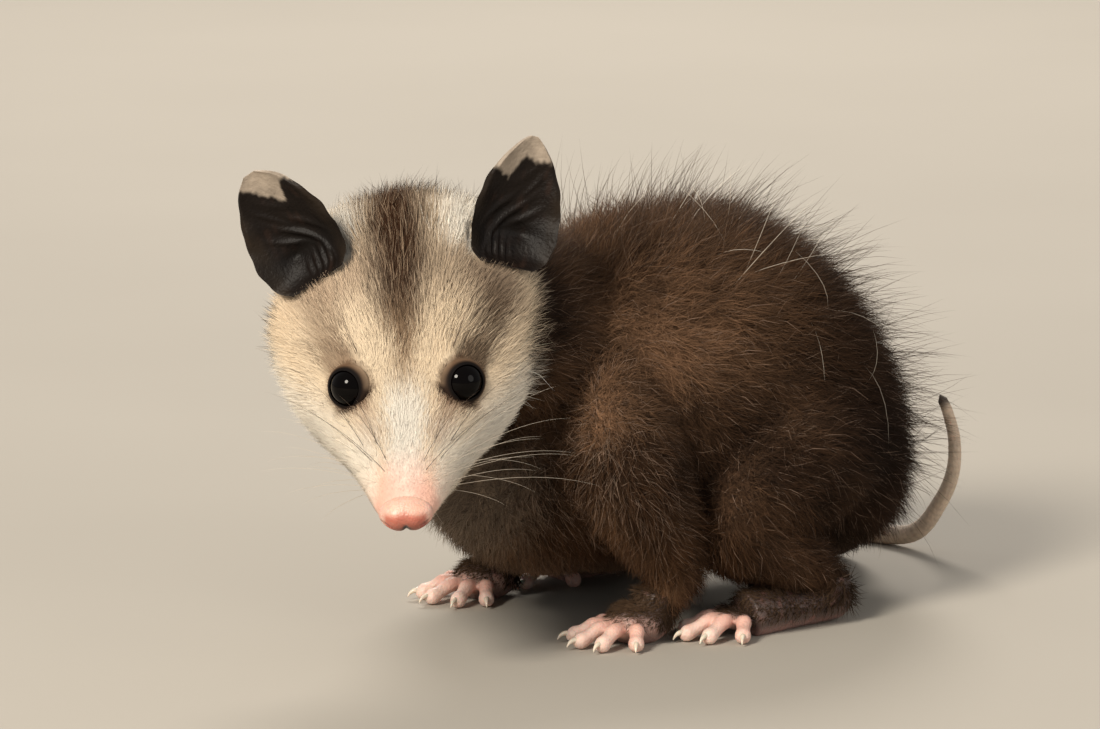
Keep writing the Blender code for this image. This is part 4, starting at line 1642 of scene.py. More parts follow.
@dataclass
class Tail:
    """The scaly, nearly bare tail, folded on the floor with its end raised."""

    stations: tuple = (
        (46, 3, 21, 6.6), (55, 8, 12, 5.8), (60, 19, 5.2, 4.9), (57.5, 32, 4.1, 4.2), (49, 42, 3.7, 3.8),
        (42, 51, 3.4, 3.5), (46, 59.5, 3.1, 3.2), (57, 60, 2.8, 2.9), (67.5, 51, 2.6, 2.7),
        (75, 39, 2.4, 2.5), (78.6, 25, 2.1, 2.2), (79.8, 14, 4.4, 1.95), (80.8, 7, 12, 1.7),
        (81.3, 3.5, 19, 1.5), (81.2, 3, 26, 1.35), (79.6, 3.2, 32, 1.2), (78.2, 3.4, 35, 1.05))
    ring: float = 0.5
    scale_rows: float = 1.5
    nodes: tuple = ("tail_root", "tail_base", "tail_bend", "tail_middle", "tail_end", "tail_tip")

    def line(self) -> Array:
        """The middle line and radius, at even steps.

        Returns:
            Rows of place and radius.
        """
        rows = eased(self.stations, 12)
        lengths = np.concatenate([[0.0], np.cumsum(np.linalg.norm(np.diff(rows[:, :3], axis=0), axis=1))])
        marks = np.linspace(0, lengths[-1], int(lengths[-1] / self.ring))
        even = between(marks, lengths, rows)
        tip = even[-1, :3] - even[-4, :3]
        for step, shrink in ((0.5, 0.86), (0.9, 0.62), (1.15, 0.3)):
            even = np.vstack([even, [*(even[-1, :3] + unit(tip) * step * 0.5), even[-1, 3] * shrink]])
        return even

    def build(self, bench: Workbench) -> None:
        """Makes the tail.

        Args:
            bench: Where pieces are finished.
        """
        line = self.line()
        count = len(line) * self.ring / self.scale_rows

        def relief(around: Array, share: Array) -> Array:
            """Rings of low scales, each raised towards its hind edge.

            Args:
                around: The share of the turn.
                share: The share of the length.

            Returns:
                The factor on the radius.
            """
            row = share * count
            step = row - np.floor(row)
            scale = np.abs(np.sin((around * 10 + 0.5 * (np.floor(row) % 2)) * math.pi)) ** 0.5
            fade = 1 - 0.6 * ramp(share, 0.95, 1.0)
            return 1 + fade * (0.045 * step * (0.4 + 0.6 * scale) - 0.025)

        bm = Rope(line).grid(30, relief)
        lift_to_floor(bm)
        bench.piece("tail_skin", bm, TAIL, self.colour, self.nodes)

    def colour(self, points: Array) -> Array:
        """Dusky at the root, pinkish cream beyond, darker between the rings of scales.

        Args:
            points: Places in the layout.

        Returns:
            Their colours.
        """
        line = self.line()
        found = nearest_row(line[:, :3], points)
        share = found / len(line)
        off = np.linalg.norm(points - line[found, :3], axis=1) / line[found, 3]
        return layered("cdb6a0", len(points),
                       ("3a3030", 1 - ramp(share + 0.012 * drift(points, 5.0, 61), 0.16, 0.27)),
                       ("e0cdb8", ramp(share, 0.55, 0.9) * 0.6),
                       ("8a7264", (1 - ramp(off, 0.965, 1.0)) * 0.55),
                       ("2e2422", ramp(share, 0.975, 0.99) * 0.9))


# The coat


class Tuft:
    """The unit tuft: a closed cone of three sides, cut across so that it can bend."""

    def __init__(self, cuts: int) -> None:
        """Shapes the cone with so many cuts between its root and its tip.

        Args:
            cuts: How many cuts.
        """
        bm = bmesh.new()
        bmesh.ops.create_cone(bm, cap_ends=True, segments=3, radius1=1.0, radius2=0.0, depth=1.0)
        bmesh.ops.remove_doubles(bm, verts=bm.verts, dist=1e-5)
        for cut in range(cuts):
            level = (cut + 1) / (cuts + 1) - 0.5
            bmesh.ops.bisect_plane(bm, geom=bm.verts[:] + bm.edges[:] + bm.faces[:], dist=1e-6,
                                   plane_co=(0, 0, level), plane_no=(0, 0, 1))
        bmesh.ops.recalc_face_normals(bm, faces=bm.faces)
        bm.verts.ensure_lookup_table()
        points = points_of(bm)
        self.along = points[:, 2] + 0.5
        turn = np.arctan2(points[:, 1], points[:, 0])
        thick = np.where(self.along > 0.999, 0.0, (1 - self.along) ** 0.65)
        self.across = np.cos(turn) * thick
        self.out = np.sin(turn) * thick
        self.corners = [vert.index for face in bm.faces for vert in face.verts]
        self.sides = [len(face.verts) for face in bm.faces]
        bm.free()

    @property
    def triangles(self) -> int:
        """How many triangles one tuft has."""
        return sum(side - 2 for side in self.sides)


@dataclass
class Hairs:
    """Tufts, each with a root, knee, tip and width, the skin's way out, two tones and a chart place."""

    root: Array
    knee: Array
    tip: Array
    width: Array
    rise: Array
    root_tone: Array
    tip_tone: Array
    chart: Array

    def picked(self, which: Array) -> "Hairs":
        """Some of the tufts."""
        return Hairs(*(getattr(self, name)[which] for name in self.__dataclass_fields__))

    def pieces(self, name: str, tuft: Tuft, bench: Workbench, finish: Finish) -> None:
        """The tufts as pieces of a size that keeps every triangle.

        Args:
            name: The name of the pieces.
            tuft: The unit tuft.
            bench: Where pieces are finished.
            finish: The finish.
        """
        most = MOST_TRIANGLES // tuft.triangles
        count = len(self.root)
        for number, start in enumerate(range(0, count, most), 1):
            label = name if count <= most else f"{name}_{number}"
            self.picked(np.arange(start, min(start + most, count)))._piece(label, tuft, bench, finish)

    def _piece(self, name: str, tuft: Tuft, bench: Workbench, finish: Finish) -> None:
        """All the tufts as one piece, with the shading of the fur's own surface.

        Args:
            name: The piece's name.
            tuft: The unit tuft.
            bench: Where pieces are finished.
            finish: The finish.
        """
        count, size = len(self.root), len(tuft.along)
        s = tuft.along[None, :, None]
        line = (self.root[:, None] * (1 - s) ** 2 + self.knee[:, None] * 2 * s * (1 - s)
                + self.tip[:, None] * s ** 2)
        way = unit(self.tip - self.root)
        bend = self.knee - (self.root + self.tip) / 2
        aside = unit(np.cross(way, bend + way * 1e-3 + np.array([1e-4, 2e-4, 3e-4])))
        out = np.cross(way, aside)
        offset = aside[:, None] * tuft.across[None, :, None] + out[:, None] * tuft.out[None, :, None]
        points = line + offset * (self.width[:, None, None] / 2)
        points[:, :, 2] = np.maximum(points[:, :, 2], FLOOR_GAP)
        fade = s ** 0.8
        colours = self.root_tone[:, None] * (1 - fade) + self.tip_tone[:, None] * fade
        corners = (np.array(tuft.corners)[None, :] + (np.arange(count) * size)[:, None]).ravel()
        sides = np.tile(tuft.sides, count)
        mesh = bpy.data.meshes.new(name)
        mesh.vertices.add(count * size)
        mesh.vertices.foreach_set("co", bench.layout.metres(points.reshape(-1, 3)).astype(np.float32).ravel())
        mesh.loops.add(len(corners))
        mesh.loops.foreach_set("vertex_index", corners.astype(np.int32))
        mesh.polygons.add(len(sides))
        mesh.polygons.foreach_set("loop_start", np.concatenate([[0], np.cumsum(sides)[:-1]]).astype(np.int32))
        mesh.update(calc_edges=True)
        mesh.shade_smooth()
        paint(mesh, colours.reshape(-1, 3))
        spread = np.stack([np.broadcast_to(tuft.across + 0.02 * tuft.out, (count, size)),
                           np.broadcast_to(2 * tuft.along - 1, (count, size))], -1)
        patch = self.chart[:, None, :] + HALF_PATCH * spread
        chart = mesh.uv_layers.new(name=COAT_MAP)
        chart.data.foreach_set("uv", patch.reshape(-1, 2)[corners].astype(np.float32).ravel())
        normals = unit(self.rise[:, None] * SOFTNESS + unit(offset) * (1 - SOFTNESS))
        mesh.normals_split_custom_set_from_vertices(normals.reshape(-1, 3))
        bench.settle(shown(name, mesh), finish)


def laid(roots: Array, normals: Array, lies: Array, lift: Array, curl: Array | float, length: Array,
         depth: float) -> tuple[Array, Array, Array]:
    """Tufts laid along the skin.

    Args:
        roots: Places on the skin.
        normals: The skin's way out there.
        lies: The way that the coat lies.
        lift: How far each tuft rises off the skin, in radians.
        curl: How far it bends back to the skin, in radians.
        length: How long it is.
        depth: How far its root is sunk.

    Returns:
        The roots, knees and tips.
    """
    flat = unit(lies - normals * (lies * normals).sum(1)[:, None])
    first, last = (flat * np.cos(angle)[:, None] + normals * np.sin(angle)[:, None]
                   for angle in (lift + np.asarray(curl) / 2, lift - np.asarray(curl) / 2))
    start = roots - normals * depth
    knee = start + first * (length * 0.5)[:, None]
    return start, knee, knee + last * (length * 0.5)[:, None]


class Ground:
    """The skin as a ground for tufts: its triangles, normals and regions."""

    def __init__(self, skin: bpy.types.Object, layout: Layout, regions: Sequence[Region]) -> None:
        """Reads the skin's triangles once.

        Args:
            skin: The piece that the tufts grow on.
            layout: Where the layout lies in the frame.
            regions: The regions of the coat.
        """
        mesh = skin.data
        mesh.calc_loop_triangles()
        points = np.zeros(len(mesh.vertices) * 3, np.float32)
        mesh.vertices.foreach_get("co", points)
        self.points = layout.millimetres(points.reshape(-1, 3).astype(float))
        normals = np.zeros(len(mesh.vertices) * 3, np.float32)
        mesh.vertex_normals.foreach_get("vector", normals)
        self.normals = normals.reshape(-1, 3).astype(float)
        corners = np.zeros(len(mesh.loop_triangles) * 3, np.int32)
        mesh.loop_triangles.foreach_get("vertices", corners)
        self.corners = corners.reshape(-1, 3)
        a, b, c = (self.points[self.corners[:, k]] for k in range(3))
        self.areas = np.linalg.norm(np.cross(b - a, c - a), axis=1) / 2
        self.middles = (a + b + c) / 3
        self.regions = regions

    def scatter(self, count: int, density: Array, rng: np.random.Generator) -> tuple[Array, Array]:
        """Random places on the skin.

        Args:
            count: How many.
            density: How thickly each triangle is covered.
            rng: The source of chance.

        Returns:
            The places and the skin's normals there.
        """
        weight = self.areas * density
        which = rng.choice(len(weight), count, p=weight / weight.sum())
        u, v = rng.random(count), rng.random(count)
        flip = u + v > 1
        u[flip], v[flip] = 1 - u[flip], 1 - v[flip]
        share = np.stack([1 - u - v, u, v], 1)[:, :, None]
        corners = self.corners[which]
        return (self.points[corners] * share).sum(1), unit((self.normals[corners] * share).sum(1))

    def closeness(self, points: Array) -> Array:
        """How far each point is from each region's form."""
        return np.stack([region.form.distance(points) for region in self.regions], 1)

    def chart(self, points: Array, nearest: Array | None = None) -> Array:
        """Each point's place on the unwrap of the skin.

        Args:
            points: Places in the layout.
            nearest: The region of each, where it is known.

        Returns:
            Two shares a point.
        """
        nearest = self.closeness(points).argmin(1) if nearest is None else nearest
        made = np.zeros((len(points), 2))
        for number, region in enumerate(self.regions):
            here = nearest == number
            if here.any():
                u, v, wide, high = region.tile
                size = (wide - 2 * TILE_MARGIN, high - 2 * TILE_MARGIN)
                made[here] = region.form.unwrap(points[here]) * size + (u + TILE_MARGIN, v + TILE_MARGIN)
        return made


@dataclass(frozen=True)
class Layer:
    """A layer of the body's coat."""

    name: str
    count: int
    cuts: int
    length: float
    width: float
    lift: float
    curl: float
    stray: float
    gather: float
    seed: int


UNDERFUR = Layer("underfur", 150_000, 0, 8.2, 0.18, 50.0, 0.0, 0.80, 0.0, 7)
OVERFUR = Layer("coat", 38_000, 1, 12.2, 0.15, 46.0, 1.05, 0.62, 0.34, 8)


@dataclass
class BodyCoat:
    """The long, woolly coat of trunk, neck and legs."""

    ground: Ground
    locks: int = 6500

    def build(self, bench: Workbench) -> None:
        """Grows both layers, in pieces by region.

        Args:
            bench: Where pieces are finished.
        """
        for layer in (UNDERFUR, OVERFUR):
            rng = np.random.default_rng(layer.seed)
            roots, normals = self.ground.scatter(layer.count, self._density(self.ground.middles), rng)
            gaps = self.ground.closeness(roots)
            nearest = gaps.argmin(1)
            hairs = self._grow(layer, roots, normals, self._lie(roots, gaps), nearest, rng)
            for name, which in self._places(roots, nearest).items():
                part = hairs.picked(np.flatnonzero(which))
                part.pieces(f"{layer.name}_{name}", Tuft(layer.cuts), bench, COAT)

    def _density(self, points: Array) -> Array:
        """How thickly the coat grows at each place.

        Args:
            points: Places in the layout.

        Returns:
            One density a place.
        """
        on_head = Markings.head_share(HEAD_FRAME.local(points))
        belly = (1 - ramp(points[:, 2], 7, 13)) * 0.6
        return (1 - on_head) * (1 - belly) * ramp(points[:, 2], 3.0, 6.0) + 1e-6

    def _lie(self, roots: Array, gaps: Array) -> Array:
        """The way the coat lies, blended between the regions.

        Args:
            roots: Places on the skin.
            gaps: How far each is from each region's form.

        Returns:
            The lies.
        """
        weight = np.exp(-np.maximum(gaps - gaps.min(1, keepdims=True), 0) / 5.0)
        ways = np.array([region.lie for region in self.ground.regions])
        on_head = [region.name == "head" for region in self.ground.regions]
        ways[on_head] = HEAD_FRAME.ways(np.array([-1, 0, -0.2]))[0]
        lies = unit(weight @ ways)
        lies[:, 1] += 0.18 * np.sign(roots[:, 1]) * ramp(np.abs(roots[:, 1]), 2, 20)
        for scale, size, seed in ((30.0, 0.42, 71), (9.0, 0.46, 75)):
            lies += size * np.stack([drift(roots, scale * (1 + 0.1 * k), seed + k) for k in range(3)], 1)
        return unit(lies)

    def _grow(self, layer: Layer, roots: Array, normals: Array, lies: Array, nearest: Array,
              rng: np.random.Generator) -> Hairs:
        """Bends each tuft along the lie and draws it a little towards its lock's tip.

        Args:
            layer: The layer.
            roots: Places on the skin.
            normals: The skin's way out there.
            lies: The way the coat lies.
            nearest: The region of each place.
            rng: The source of chance.

        Returns:
            The tufts.
        """
        count = len(roots)
        x, y, z = roots.T
        centres, _ = self.ground.scatter(self.locks, self._density(self.ground.middles), rng)
        lock = nearest_row(centres, roots)
        lies = lies + rng.normal(0, 0.20, (self.locks, 3))[lock] + rng.normal(0, layer.stray, (count, 3))
        back, rump, feet = ramp(z, 60, 84), ramp(x, 30, 50), 1 - ramp(z, 8, 20)
        belly = 1 - ramp(normals[:, 2], -0.7, -0.2)
        length = layer.length * rng.uniform(0.88, 1.12, self.locks)[lock] * rng.uniform(0.66, 1.12, count)
        length *= 1 + 0.14 * drift(roots, 13.0, 79)
        length *= (1 + 0.08 * back - 0.04 * rump) * (1 - 0.42 * feet) * (1 - 0.30 * belly)
        length *= 1 - 0.35 * ramp(HEAD_FRAME.local(roots)[:, 0], -44, -34)
        lift = np.radians(layer.lift + 8 * back - 4 * rump - 12 * feet)
        lift = lift + rng.normal(0, 0.10, self.locks)[lock]
        lift = np.clip(lift + rng.normal(0, 0.16, count), 0.1, 1.45)
        start, knee, tip = laid(roots, normals, lies, lift, layer.curl, length, 0.5)
        tip[:, 2] -= 0.08 * length * (1 - back)
        if layer.gather:
            total = np.zeros((self.locks, 3))
            np.add.at(total, lock, tip)
            mean = (total / np.maximum(np.bincount(lock, minlength=self.locks), 1)[:, None])[lock]
            pull = rng.uniform(0.0, 2 * layer.gather, count)[:, None]
            tip = tip * (1 - pull) + mean * pull
        tips = MARKINGS.at(roots + rng.normal(0, 2.0, (count, 3)))
        tips = tips * rng.normal(1.0, 0.16, count)[:, None].clip(0.5, 1.6)
        tips *= (1 + 0.10 * rng.normal(size=self.locks)[lock])[:, None]
        light = rng.random(count)
        flecks = 0.05 + 0.16 * mound((x, -32, 14), (z, 36, 16)) * (y < 0)
        bleached = blended(tips, tone("a98f7d"), rng.uniform(0.25, 0.75, count))
        tips = np.where((light < flecks)[:, None], bleached, tips)
        tips = np.where((light > 0.90)[:, None], tips * 0.5, tips)
        return Hairs(start, knee, tip, layer.width * rng.uniform(0.7, 1.25, count), normals, tips * 0.55,
                     tips * 1.08, self.ground.chart(roots, nearest))

    def _places(self, roots: Array, nearest: Array) -> dict[str, Array]:
        """Which tufts go into which piece.

        Args:
            roots: Places on the skin.
            nearest: The region of each.

        Returns:
            A mask of tufts for each name.
        """
        names = np.array([region.name for region in self.ground.regions])[nearest]
        trunk, high = names == "torso", roots[:, 2] > 62
        made = {"back": trunk & high, "neck": np.isin(names, ("neck", "head"))}
        for side in Side:
            made[f"flank_{side.word}"] = trunk & ~high & (np.sign(roots[:, 1]) == side.value)
            for leg in ("foreleg", "hindleg"):
                made[f"{leg}_{side.word}"] = names == f"{leg}_{side.word}"
        return made


@dataclass
class FaceCoat:
    """The short fur of the head, finest on the muzzle, with longer hairs at cheeks and crown."""

    ground: Ground
    fine: int = 83_000
    long: int = 9_000
    seed: int = 17

    def build(self, bench: Workbench) -> None:
        """Grows the head's fur, in pieces by side.

        Args:
            bench: Where pieces are finished.
        """
        rng = np.random.default_rng(self.seed)
        for word, count, cuts in (("fur", self.fine, 0), ("ruff", self.long, 1)):
            roots, normals = self.ground.scatter(count, self._density(self.ground.middles, bool(cuts)), rng)
            hairs = self._grow(roots, normals, bool(cuts), rng)
            seen = ~(self._over_ear(hairs.tip) | self._over_ear(hairs.knee) | self._over_ear(hairs.root))
            left = HEAD_FRAME.local(roots)[:, 1] > 0
            for side, which in ((Side.LEFT, left), (Side.RIGHT, ~left)):
                part = hairs.picked(np.flatnonzero(which & seen))
                part.pieces(f"face_{word}_{side.word}", Tuft(cuts), bench, FACE_COAT)

    @staticmethod
    def _over_ear(points: Array) -> Array:
        """Whether each place lies over an ear's cup."""
        return EARS[Side.LEFT].hides(points) | EARS[Side.RIGHT].hides(points)

    @staticmethod
    def _off_eye(local: Array) -> Array:
        """How each place lies from the eye on its side, in the head's frame.

        Args:
            local: Places in the head's frame.

        Returns:
            One offset a place.
        """
        ones = np.ones(len(local))
        return local - np.array(EYE_PLACE) * np.stack([ones, np.sign(local[:, 1] + 1e-9), ones], 1)

    def _density(self, points: Array, long: bool) -> Array:
        """How thickly the fur grows at each place of the head.

        Args:
            points: Places in the layout.
            long: Whether for the longer hairs.

        Returns:
            The density.
        """
        local = HEAD_FRAME.local(points)
        n, side, t = local[:, 0], np.abs(local[:, 1]), local[:, 2]
        on_head = Markings.head_share(local) * ramp(n, -39, -35)
        off = self._off_eye(local)
        look = unit(np.array(EYE_LOOK))
        height = off @ look * (local[:, 1] > 0) + off @ (look * (1, -1, 1)) * (local[:, 1] <= 0)
        away = np.sqrt(np.maximum((off ** 2).sum(1) - height ** 2, 0))
        on_eye = (height > 0) & (away < 4.0) & (np.linalg.norm(off, axis=1) < 6.5)
        if long:
            edge = ramp(side, 17, 23) * ramp(-t, -8, 0) + ramp(t, 8, 15) * ramp(-n, 22, 30)
            return on_head * edge + 1e-8
        fine = (1 + 1.6 * ramp(n, -8, 10)) * (1 + 1.2 * (1 - ramp(np.linalg.norm(off, axis=1), 5.2, 7.0)))
        return on_head * (1 - 0.75 * ramp(n, 25, 29)) * fine * (1 - 0.5 * ramp(-t, 8, 16)) * ~on_eye + 1e-8

    def _grow(self, roots: Array, normals: Array, long: bool, rng: np.random.Generator) -> Hairs:
        """Lays each tuft back from the nose, round the eyes and out over the cheeks.

        Args:
            roots: Places on the skin.
            normals: The skin's way out there.
            long: Whether these are the longer hairs.
            rng: The source of chance.

        Returns:
            The tufts.
        """
        count = len(roots)
        local = HEAD_FRAME.local(roots)
        n, l, t = local.T
        cheek = ramp(np.abs(l), 11, 21) * ramp(-t, -9, 2)
        crown = ramp(-n, 14, 30) * ramp(t, 6, 14)
        ways = np.stack([-np.ones(count), l / 30 + 0.10 * np.sign(l) * cheek, (t + 5) / 30 - 0.25 * cheek], 1)
        off = self._off_eye(local)
        near = np.linalg.norm(off, axis=1)
        ways += unit(off) * (1.05 * mound((near, 4.9, 2.2)))[:, None]
        lies = HEAD_FRAME.ways(ways)
        wander = np.stack([drift(roots, 8.0 + k, 81 + k) for k in range(3)], 1)
        lies += 0.24 * wander + rng.normal(0, 0.22, (count, 3))
        length = np.interp(n, (-38, -30, -20, -10, 0, 10, 18, 26), (6.8, 6.2, 5.4, 4.6, 3.8, 2.8, 1.8, 0.9))
        length *= (1 + 0.15 * cheek) * rng.uniform(0.65, 1.15, count) * (1.30 if long else 1.0)
        length *= (0.40 + 0.60 * ramp(near, 4.8, 9.0)) * (1 - 0.28 * cheek * (l > 0))
        lift = 17 + cheek * np.where(l > 0, -8, 5) + 5 * crown + 4 * ramp(-n, 0, 16)
        lift = np.radians(lift) + rng.normal(0, 0.11, count)
        start, knee, tip = laid(roots, normals, lies, lift, 0.35, length, 0.15)
        seen = roots + HEAD_FRAME.ways(unit(off)) * (0.5 * (1 - ramp(near, 5.6, 7.6)))[:, None]
        base = MARKINGS.at(seen + rng.normal(0, 1.0, (count, 3)) * ramp(near, 5.5, 9.0)[:, None])
        dark = 1 - ramp(base.sum(1), 0.2, 0.9)
        tips = base * rng.normal(1.0, 0.07 + 0.10 * (1 - ramp(base.sum(1), 0.8, 1.6)), count)[:, None]
        pale = rng.random(count) < 0.16 * dark
        tips = np.where(pale[:, None], blended(tips, tone("b59c82"), 0.6), tips)
        dusk = rng.random(count) < 0.03
        tips = np.where(dusk[:, None], tips * 0.75, tips)
        width = np.interp(n, (-36, -10, 10, 26), (0.25, 0.21, 0.17, 0.12)) * rng.uniform(0.7, 1.2, count)
        return Hairs(start, knee, tip, width * (0.85 if long else 1.0), normals,
                     tips * (0.86 - 0.3 * dark[:, None]), tips * 1.05, self.ground.chart(roots))


@dataclass
class PawCoat:
    """The thin short fur over the backs of the feet."""

    paws: Sequence[bpy.types.Object]
    regions: Sequence[Region]
    each: int = 2800
    seed: int = 57

    def build(self, bench: Workbench) -> None:
        """Grows the fur of each foot.

        Args:
            bench: Where pieces are finished.
        """
        rng = np.random.default_rng(self.seed)
        for paw in self.paws:
            foot, side = next((foot, side) for foot in (FOREFOOT, HINDFOOT) for side in Side
                              if paw.name == f"paw_{foot.name}_{side.word}")
            ground = Ground(paw, bench.layout, self.regions)
            palm = np.array([foot.pads[-1][0], side.value * foot.pads[-1][1]])

            def bare(points: Array) -> Array:
                """How far each place is towards the bare digits.

                Args:
                    points: Places in the layout.

                Returns:
                    One share a place.
                """
                ahead = 1 - ramp(points[:, 0] - palm[0], 0.5, 3.5)
                return ramp(np.linalg.norm(points[:, :2] - palm, axis=1) * ahead, 3.0, 8.0)

            density = (1 - bare(ground.middles)) * ramp(ground.middles[:, 2], 2.4, 4.5) + 1e-6
            roots, normals = ground.scatter(self.each, density, rng)
            lies = np.tile(np.array([-0.8, 0.0, -0.3]), (self.each, 1)) + rng.normal(0, 0.35, (self.each, 3))
            heel = ramp(roots[:, 0] - palm[0], 4.0, 12.0)
            length = rng.uniform(1.8, 3.4, self.each) * (1 - 0.5 * bare(roots)) * (1 + 0.45 * heel)
            lift = np.radians(24 + 14 * heel) + rng.normal(0, 0.16, self.each)
            start, knee, tip = laid(roots, normals, lies, lift, 0.0, length, 0.1)
            tips = tone("54402f") * rng.normal(1.0, 0.25, self.each)[:, None].clip(0.4, 1.8)
            hairs = Hairs(start, knee, tip, rng.uniform(0.14, 0.22, self.each), normals, tips * 0.5, tips,
                          ground.chart(roots))
            hairs.pieces(f"fur_{foot.name}_{side.word}", Tuft(0), bench, COAT)


@dataclass
class LooseHairs:
    """The long guard hairs over the coat: a dark fringe and a few white ones."""

    ground: Ground
    seed: int = 27
    fringe: int = 2100
    white: int = 115

    def build(self, bench: Workbench) -> None:
        """Grows the fringe and the white hairs.

        Args:
            bench: Where pieces are finished.
        """
        rng = np.random.default_rng(self.seed)
        points = self.ground.middles
        off_head = ramp(-HEAD_FRAME.local(points)[:, 0], 42, 50)
        high = ramp(points[:, 2], 52, 74) + 1.4 * ramp(points[:, 0], 26, 42) * ramp(points[:, 2], 14, 30)
        dark = self._grow(self.fringe, off_head * high + 1e-7, (13, 23), 0.13, 58, 0.30, rng,
                          "21160f", "4c3a2c")
        dark.pieces("guard_hairs_dark", Tuft(3), bench, COAT)
        spread = off_head * ramp(points[:, 2], 10, 20)
        white = self._grow(self.white, spread + 1e-7, (15, 25), 0.16, 30, 0.65, rng, "9b8a78", "e6dac8")
        white.pieces("guard_hairs_white", Tuft(5), bench, WHISKER)

    def _grow(self, count: int, density: Array, lengths: tuple[float, float], width: float, lift: float,
              stray: float, rng: np.random.Generator, root_tone: str, tip_tone: str) -> Hairs:
        """Long hairs that bend and stray from the lie.

        Args:
            count: How many.
            density: How thickly each triangle is covered.
            lengths: The least and the greatest length.
            width: How thick they are.
            lift: How far they rise, in degrees.
            stray: How far they stray.
            rng: The source of chance.
            root_tone: Their colour at the root.
            tip_tone: Their colour at the tip.

        Returns:
            The hairs.
        """
        roots, normals = self.ground.scatter(count, density, rng)
        lies = np.tile(np.array([0.8, 0.0, -0.35]), (count, 1)) + rng.normal(0, stray, (count, 3))
        angle = np.radians(lift) + rng.normal(0, 0.16, count)
        length = rng.uniform(*lengths, count)
        start, knee, tip = laid(roots, normals, lies, angle, 0.7, length, 1.0)
        tip += rng.normal(0, 0.12, (count, 3)) * length[:, None]
        return Hairs(start, knee, tip, width * rng.uniform(0.8, 1.2, count), normals,
                     layered(root_tone, count), layered(tip_tone, count), self.ground.chart(roots))


@dataclass
class Whiskers:
    """The white whiskers of the muzzle, the dark ones over the face, and a few under the chin."""

    anatomy: Anatomy
    seed: int = 37

    def build(self, bench: Workbench) -> None:
        """Makes the white and the dark whiskers.

        Args:
            bench: Where pieces are finished.
        """
        rng = np.random.default_rng(self.seed)
        white, dark, brow = [], [], []
        for sign in (-1, 1):
            for row in range(4):
                for step in range(3):
                    n, t = 23.0 - 4.2 * step - 0.9 * row, -4.6 - 1.8 * row
                    sweep = (-0.30 - 0.14 * step, sign * 0.90, 0.42 - 0.26 * row) + rng.normal(0, 0.10, 3)
                    reach = rng.uniform(22, 38) * (1 - 0.06 * step) * (1.0 if row < 3 else 0.65)
                    reach *= 0.93 + 0.07 * sign
                    white.append(self._whisker(sign, n, t, sweep, (-0.20, -sign * 0.10, -0.85), reach))
            for n, t, out, reach in ((21.5, -3.2, 0.62, 25), (19.5, -2.6, 0.34, 19), (18.0, -3.6, 0.72, 28),
                                     (15.5, -2.2, 0.18, 17), (14.0, -3.4, 0.50, 22)):
                sweep = (-0.66, sign * out, 0.50) + rng.normal(0, 0.04, 3)
                dark.append(self._whisker(sign, n, t, sweep, (-0.10, sign * 0.25, -0.70), reach * 1.12))
            for n, t, reach in ((-3.0, 7.6, 14), (-4.5, 7.0, 12)):
                sweep, droop = (-0.75, sign * 0.35, 0.5), (-0.5, 0.0, -0.4)
                brow.append(self._whisker(sign, n, t, sweep, droop, reach, 10.0))
            for n, side, reach in ((22.0, 2.4, 6), (17.0, 3.6, 8), (12.0, 4.6, 7)):
                sweep, droop = (0.1, sign * 0.3, -1.0), (-0.5, 0.0, 0.0)
                white.append(self._whisker(sign, n, -16.4, sweep, droop, reach, side))
        for name, rows, width, root_tone, tip_tone in (("whiskers_white", white, 0.11, "b3a593", "dccfbd"),
                                                       ("whiskers_dark", dark, 0.13, "2b211b", "6a594b"),
                                                       ("whiskers_brow", brow, 0.12, "4a3b30", "8a7868")):
            root, knee, tip = (HEAD_FRAME.out(np.array([row[k] for row in rows])) for k in range(3))
            count = len(rows)
            chart = np.stack([np.linspace(0.1, 0.9, count), np.full(count, 0.5)], 1)
            hairs = Hairs(root, knee, tip, np.full(count, width), np.tile((0.0, 0.0, 0.3), (count, 1)),
                          layered(root_tone, count), layered(tip_tone, count), chart)
            hairs.pieces(name, Tuft(9), bench, WHISKER)

    def _whisker(self, sign: int, n: float, t: float, sweep: Sequence[float], droop: Sequence[float],
                 reach: float, side: float = 0.0) -> tuple[Array, Array, Array]:
        """One whisker in the head's frame.

        Args:
            sign: Its side.
            n: Its root's place along the muzzle.
            t: Its root's height.
            sweep: The way it leaves the muzzle.
            droop: How that way changes towards its tip.
            reach: Its length.
            side: How far out its root is, or 0 for the muzzle's surface.

        Returns:
            Its root, knee and tip.
        """
        root = np.array([n, sign * (side or self.anatomy.muzzle_side(n, t)), t])
        way = unit(np.array(sweep))
        knee = root + way * reach * 0.5
        return root - way * 0.8, knee, knee + unit(way + np.array(droop)) * reach * 0.5


# Studio


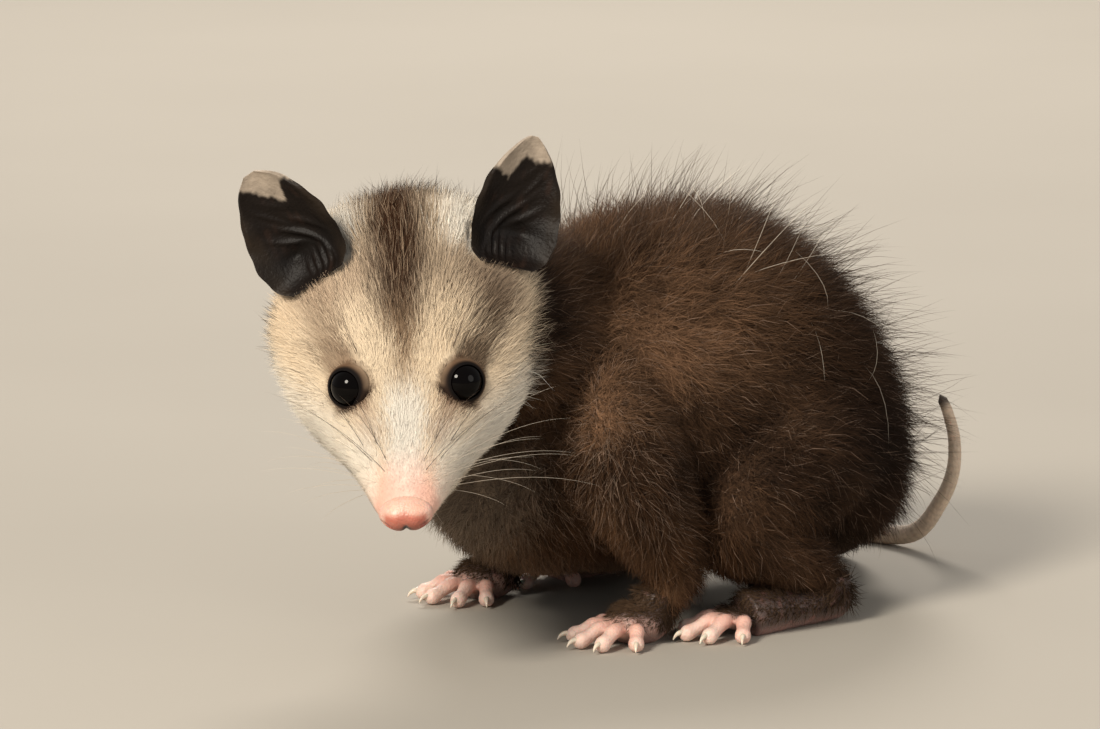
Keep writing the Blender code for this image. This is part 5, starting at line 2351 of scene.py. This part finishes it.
@dataclass
class Studio:
    """The pale floor, the soft light and the camera."""

    azimuth: float = -35.0
    elevation: float = 10.0
    distance: float = 1500.0
    target: tuple[float, float, float] = (-53.9, -38.1, 62.1)
    lens: float = 245.45
    sensor: float = 36.0
    world_strength: float = 0.36
    aim: tuple[float, float, float] = (-30.0, -5.0, 45.0)

    def build(self, layout: Layout) -> None:
        """Sets the floor, lights and camera.

        Args:
            layout: Where the layout lies in the frame.
        """
        self._floor()
        self._lights(layout)
        view = bpy.context.scene.view_settings
        view.view_transform = "Standard"
        view.look = "None"
        azimuth, elevation = math.radians(self.azimuth), math.radians(self.elevation)
        back = Vector((math.sin(azimuth) * math.cos(elevation), -math.cos(azimuth) * math.cos(elevation),
                       math.sin(elevation)))
        camera = bpy.data.cameras.new("camera")
        camera.lens = self.lens
        camera.sensor_width = self.sensor
        camera.clip_start, camera.clip_end = 0.05, 50.0
        stand = shown("camera", camera)
        stand.location = Vector(layout.metres(np.array(self.target))[0]) + back * self.distance * MM
        stand.rotation_euler = (-back).to_track_quat("-Z", "Y").to_euler()
        bpy.context.scene.camera = stand

    def _floor(self) -> None:
        """A plain pale floor under the animal."""
        bm = bmesh.new()
        bmesh.ops.create_grid(bm, x_segments=4, y_segments=4, size=6.0)
        mesh = bpy.data.meshes.new("floor")
        bm.to_mesh(mesh)
        bm.free()
        finish = bpy.data.materials.new("pale_floor")
        finish.use_nodes = True
        nodes, links = finish.node_tree.nodes, finish.node_tree.links
        shader = nodes["Principled BSDF"]
        shader.inputs["Roughness"].default_value = 0.85
        grain = nodes.new("ShaderNodeTexNoise")
        grain.inputs["Scale"].default_value = 6.0
        places = nodes.new("ShaderNodeTexCoord")
        links.new(places.outputs["Object"], grain.inputs["Vector"])
        shades = nodes.new("ShaderNodeMix")
        shades.data_type = "RGBA"
        shades.inputs["A"].default_value = (*tone("aaa49a"), 1)
        shades.inputs["B"].default_value = (*tone("b2aca2"), 1)
        links.new(grain.outputs["Fac"], shades.inputs["Factor"])
        links.new(shades.outputs["Result"], shader.inputs["Base Color"])
        mesh.materials.append(finish)
        floor = shown("floor", mesh)

    def _lights(self, layout: Layout) -> None:
        """A soft key from the front left, a weaker fill, and a rim from behind.

        Args:
            layout: Where the layout lies in the frame.
        """
        world = bpy.data.worlds.new("studio")
        world.use_nodes = True
        sky = world.node_tree.nodes["Background"]
        sky.inputs["Color"].default_value = (1.0, 0.97, 0.93, 1)
        sky.inputs["Strength"].default_value = self.world_strength
        bpy.context.scene.world = world
        aim = Vector(layout.metres(np.array(self.aim))[0])
        for name, place, size, power, colour in (
                ("key", (-1.50, -0.60, 1.14), 0.55, 41.0, (1.0, 0.92, 0.80)),
                ("fill", (0.50, -1.40, 0.60), 0.9, 4.5, (1.0, 0.95, 0.88)),
                ("rim", (0.70, 1.0, 1.0), 0.6, 14.0, (1.0, 0.93, 0.84))):
            light = bpy.data.lights.new(name, "AREA")
            light.shape = "DISK"
            light.size = size
            light.energy = power
            light.color = colour
            lamp = shown(name, light)
            lamp.location = place
            lamp.rotation_euler = (aim - Vector(place)).to_track_quat("-Z", "Y").to_euler()


# The whole animal


def main() -> None:
    """Builds the animal piece by piece, then the studio."""
    logging.basicConfig(level=logging.INFO, format="%(name)s %(message)s")
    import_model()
    layout = Layout.from_eyes()
    bench = Workbench(layout)
    anatomy = Anatomy()
    skin = Hide(anatomy).build(bench)
    for part in (Eyes(), Muzzle(), Ears(), Tail()):
        part.build(bench)
    paws = Feet().build(bench)
    ground = Ground(skin, layout, anatomy.regions())
    for coat in (BodyCoat(ground), FaceCoat(ground), PawCoat(paws, ground.regions), LooseHairs(ground),
                 Whiskers(anatomy)):
        coat.build(bench)
    Studio().build(layout)


if __name__ == "__main__":
    main()
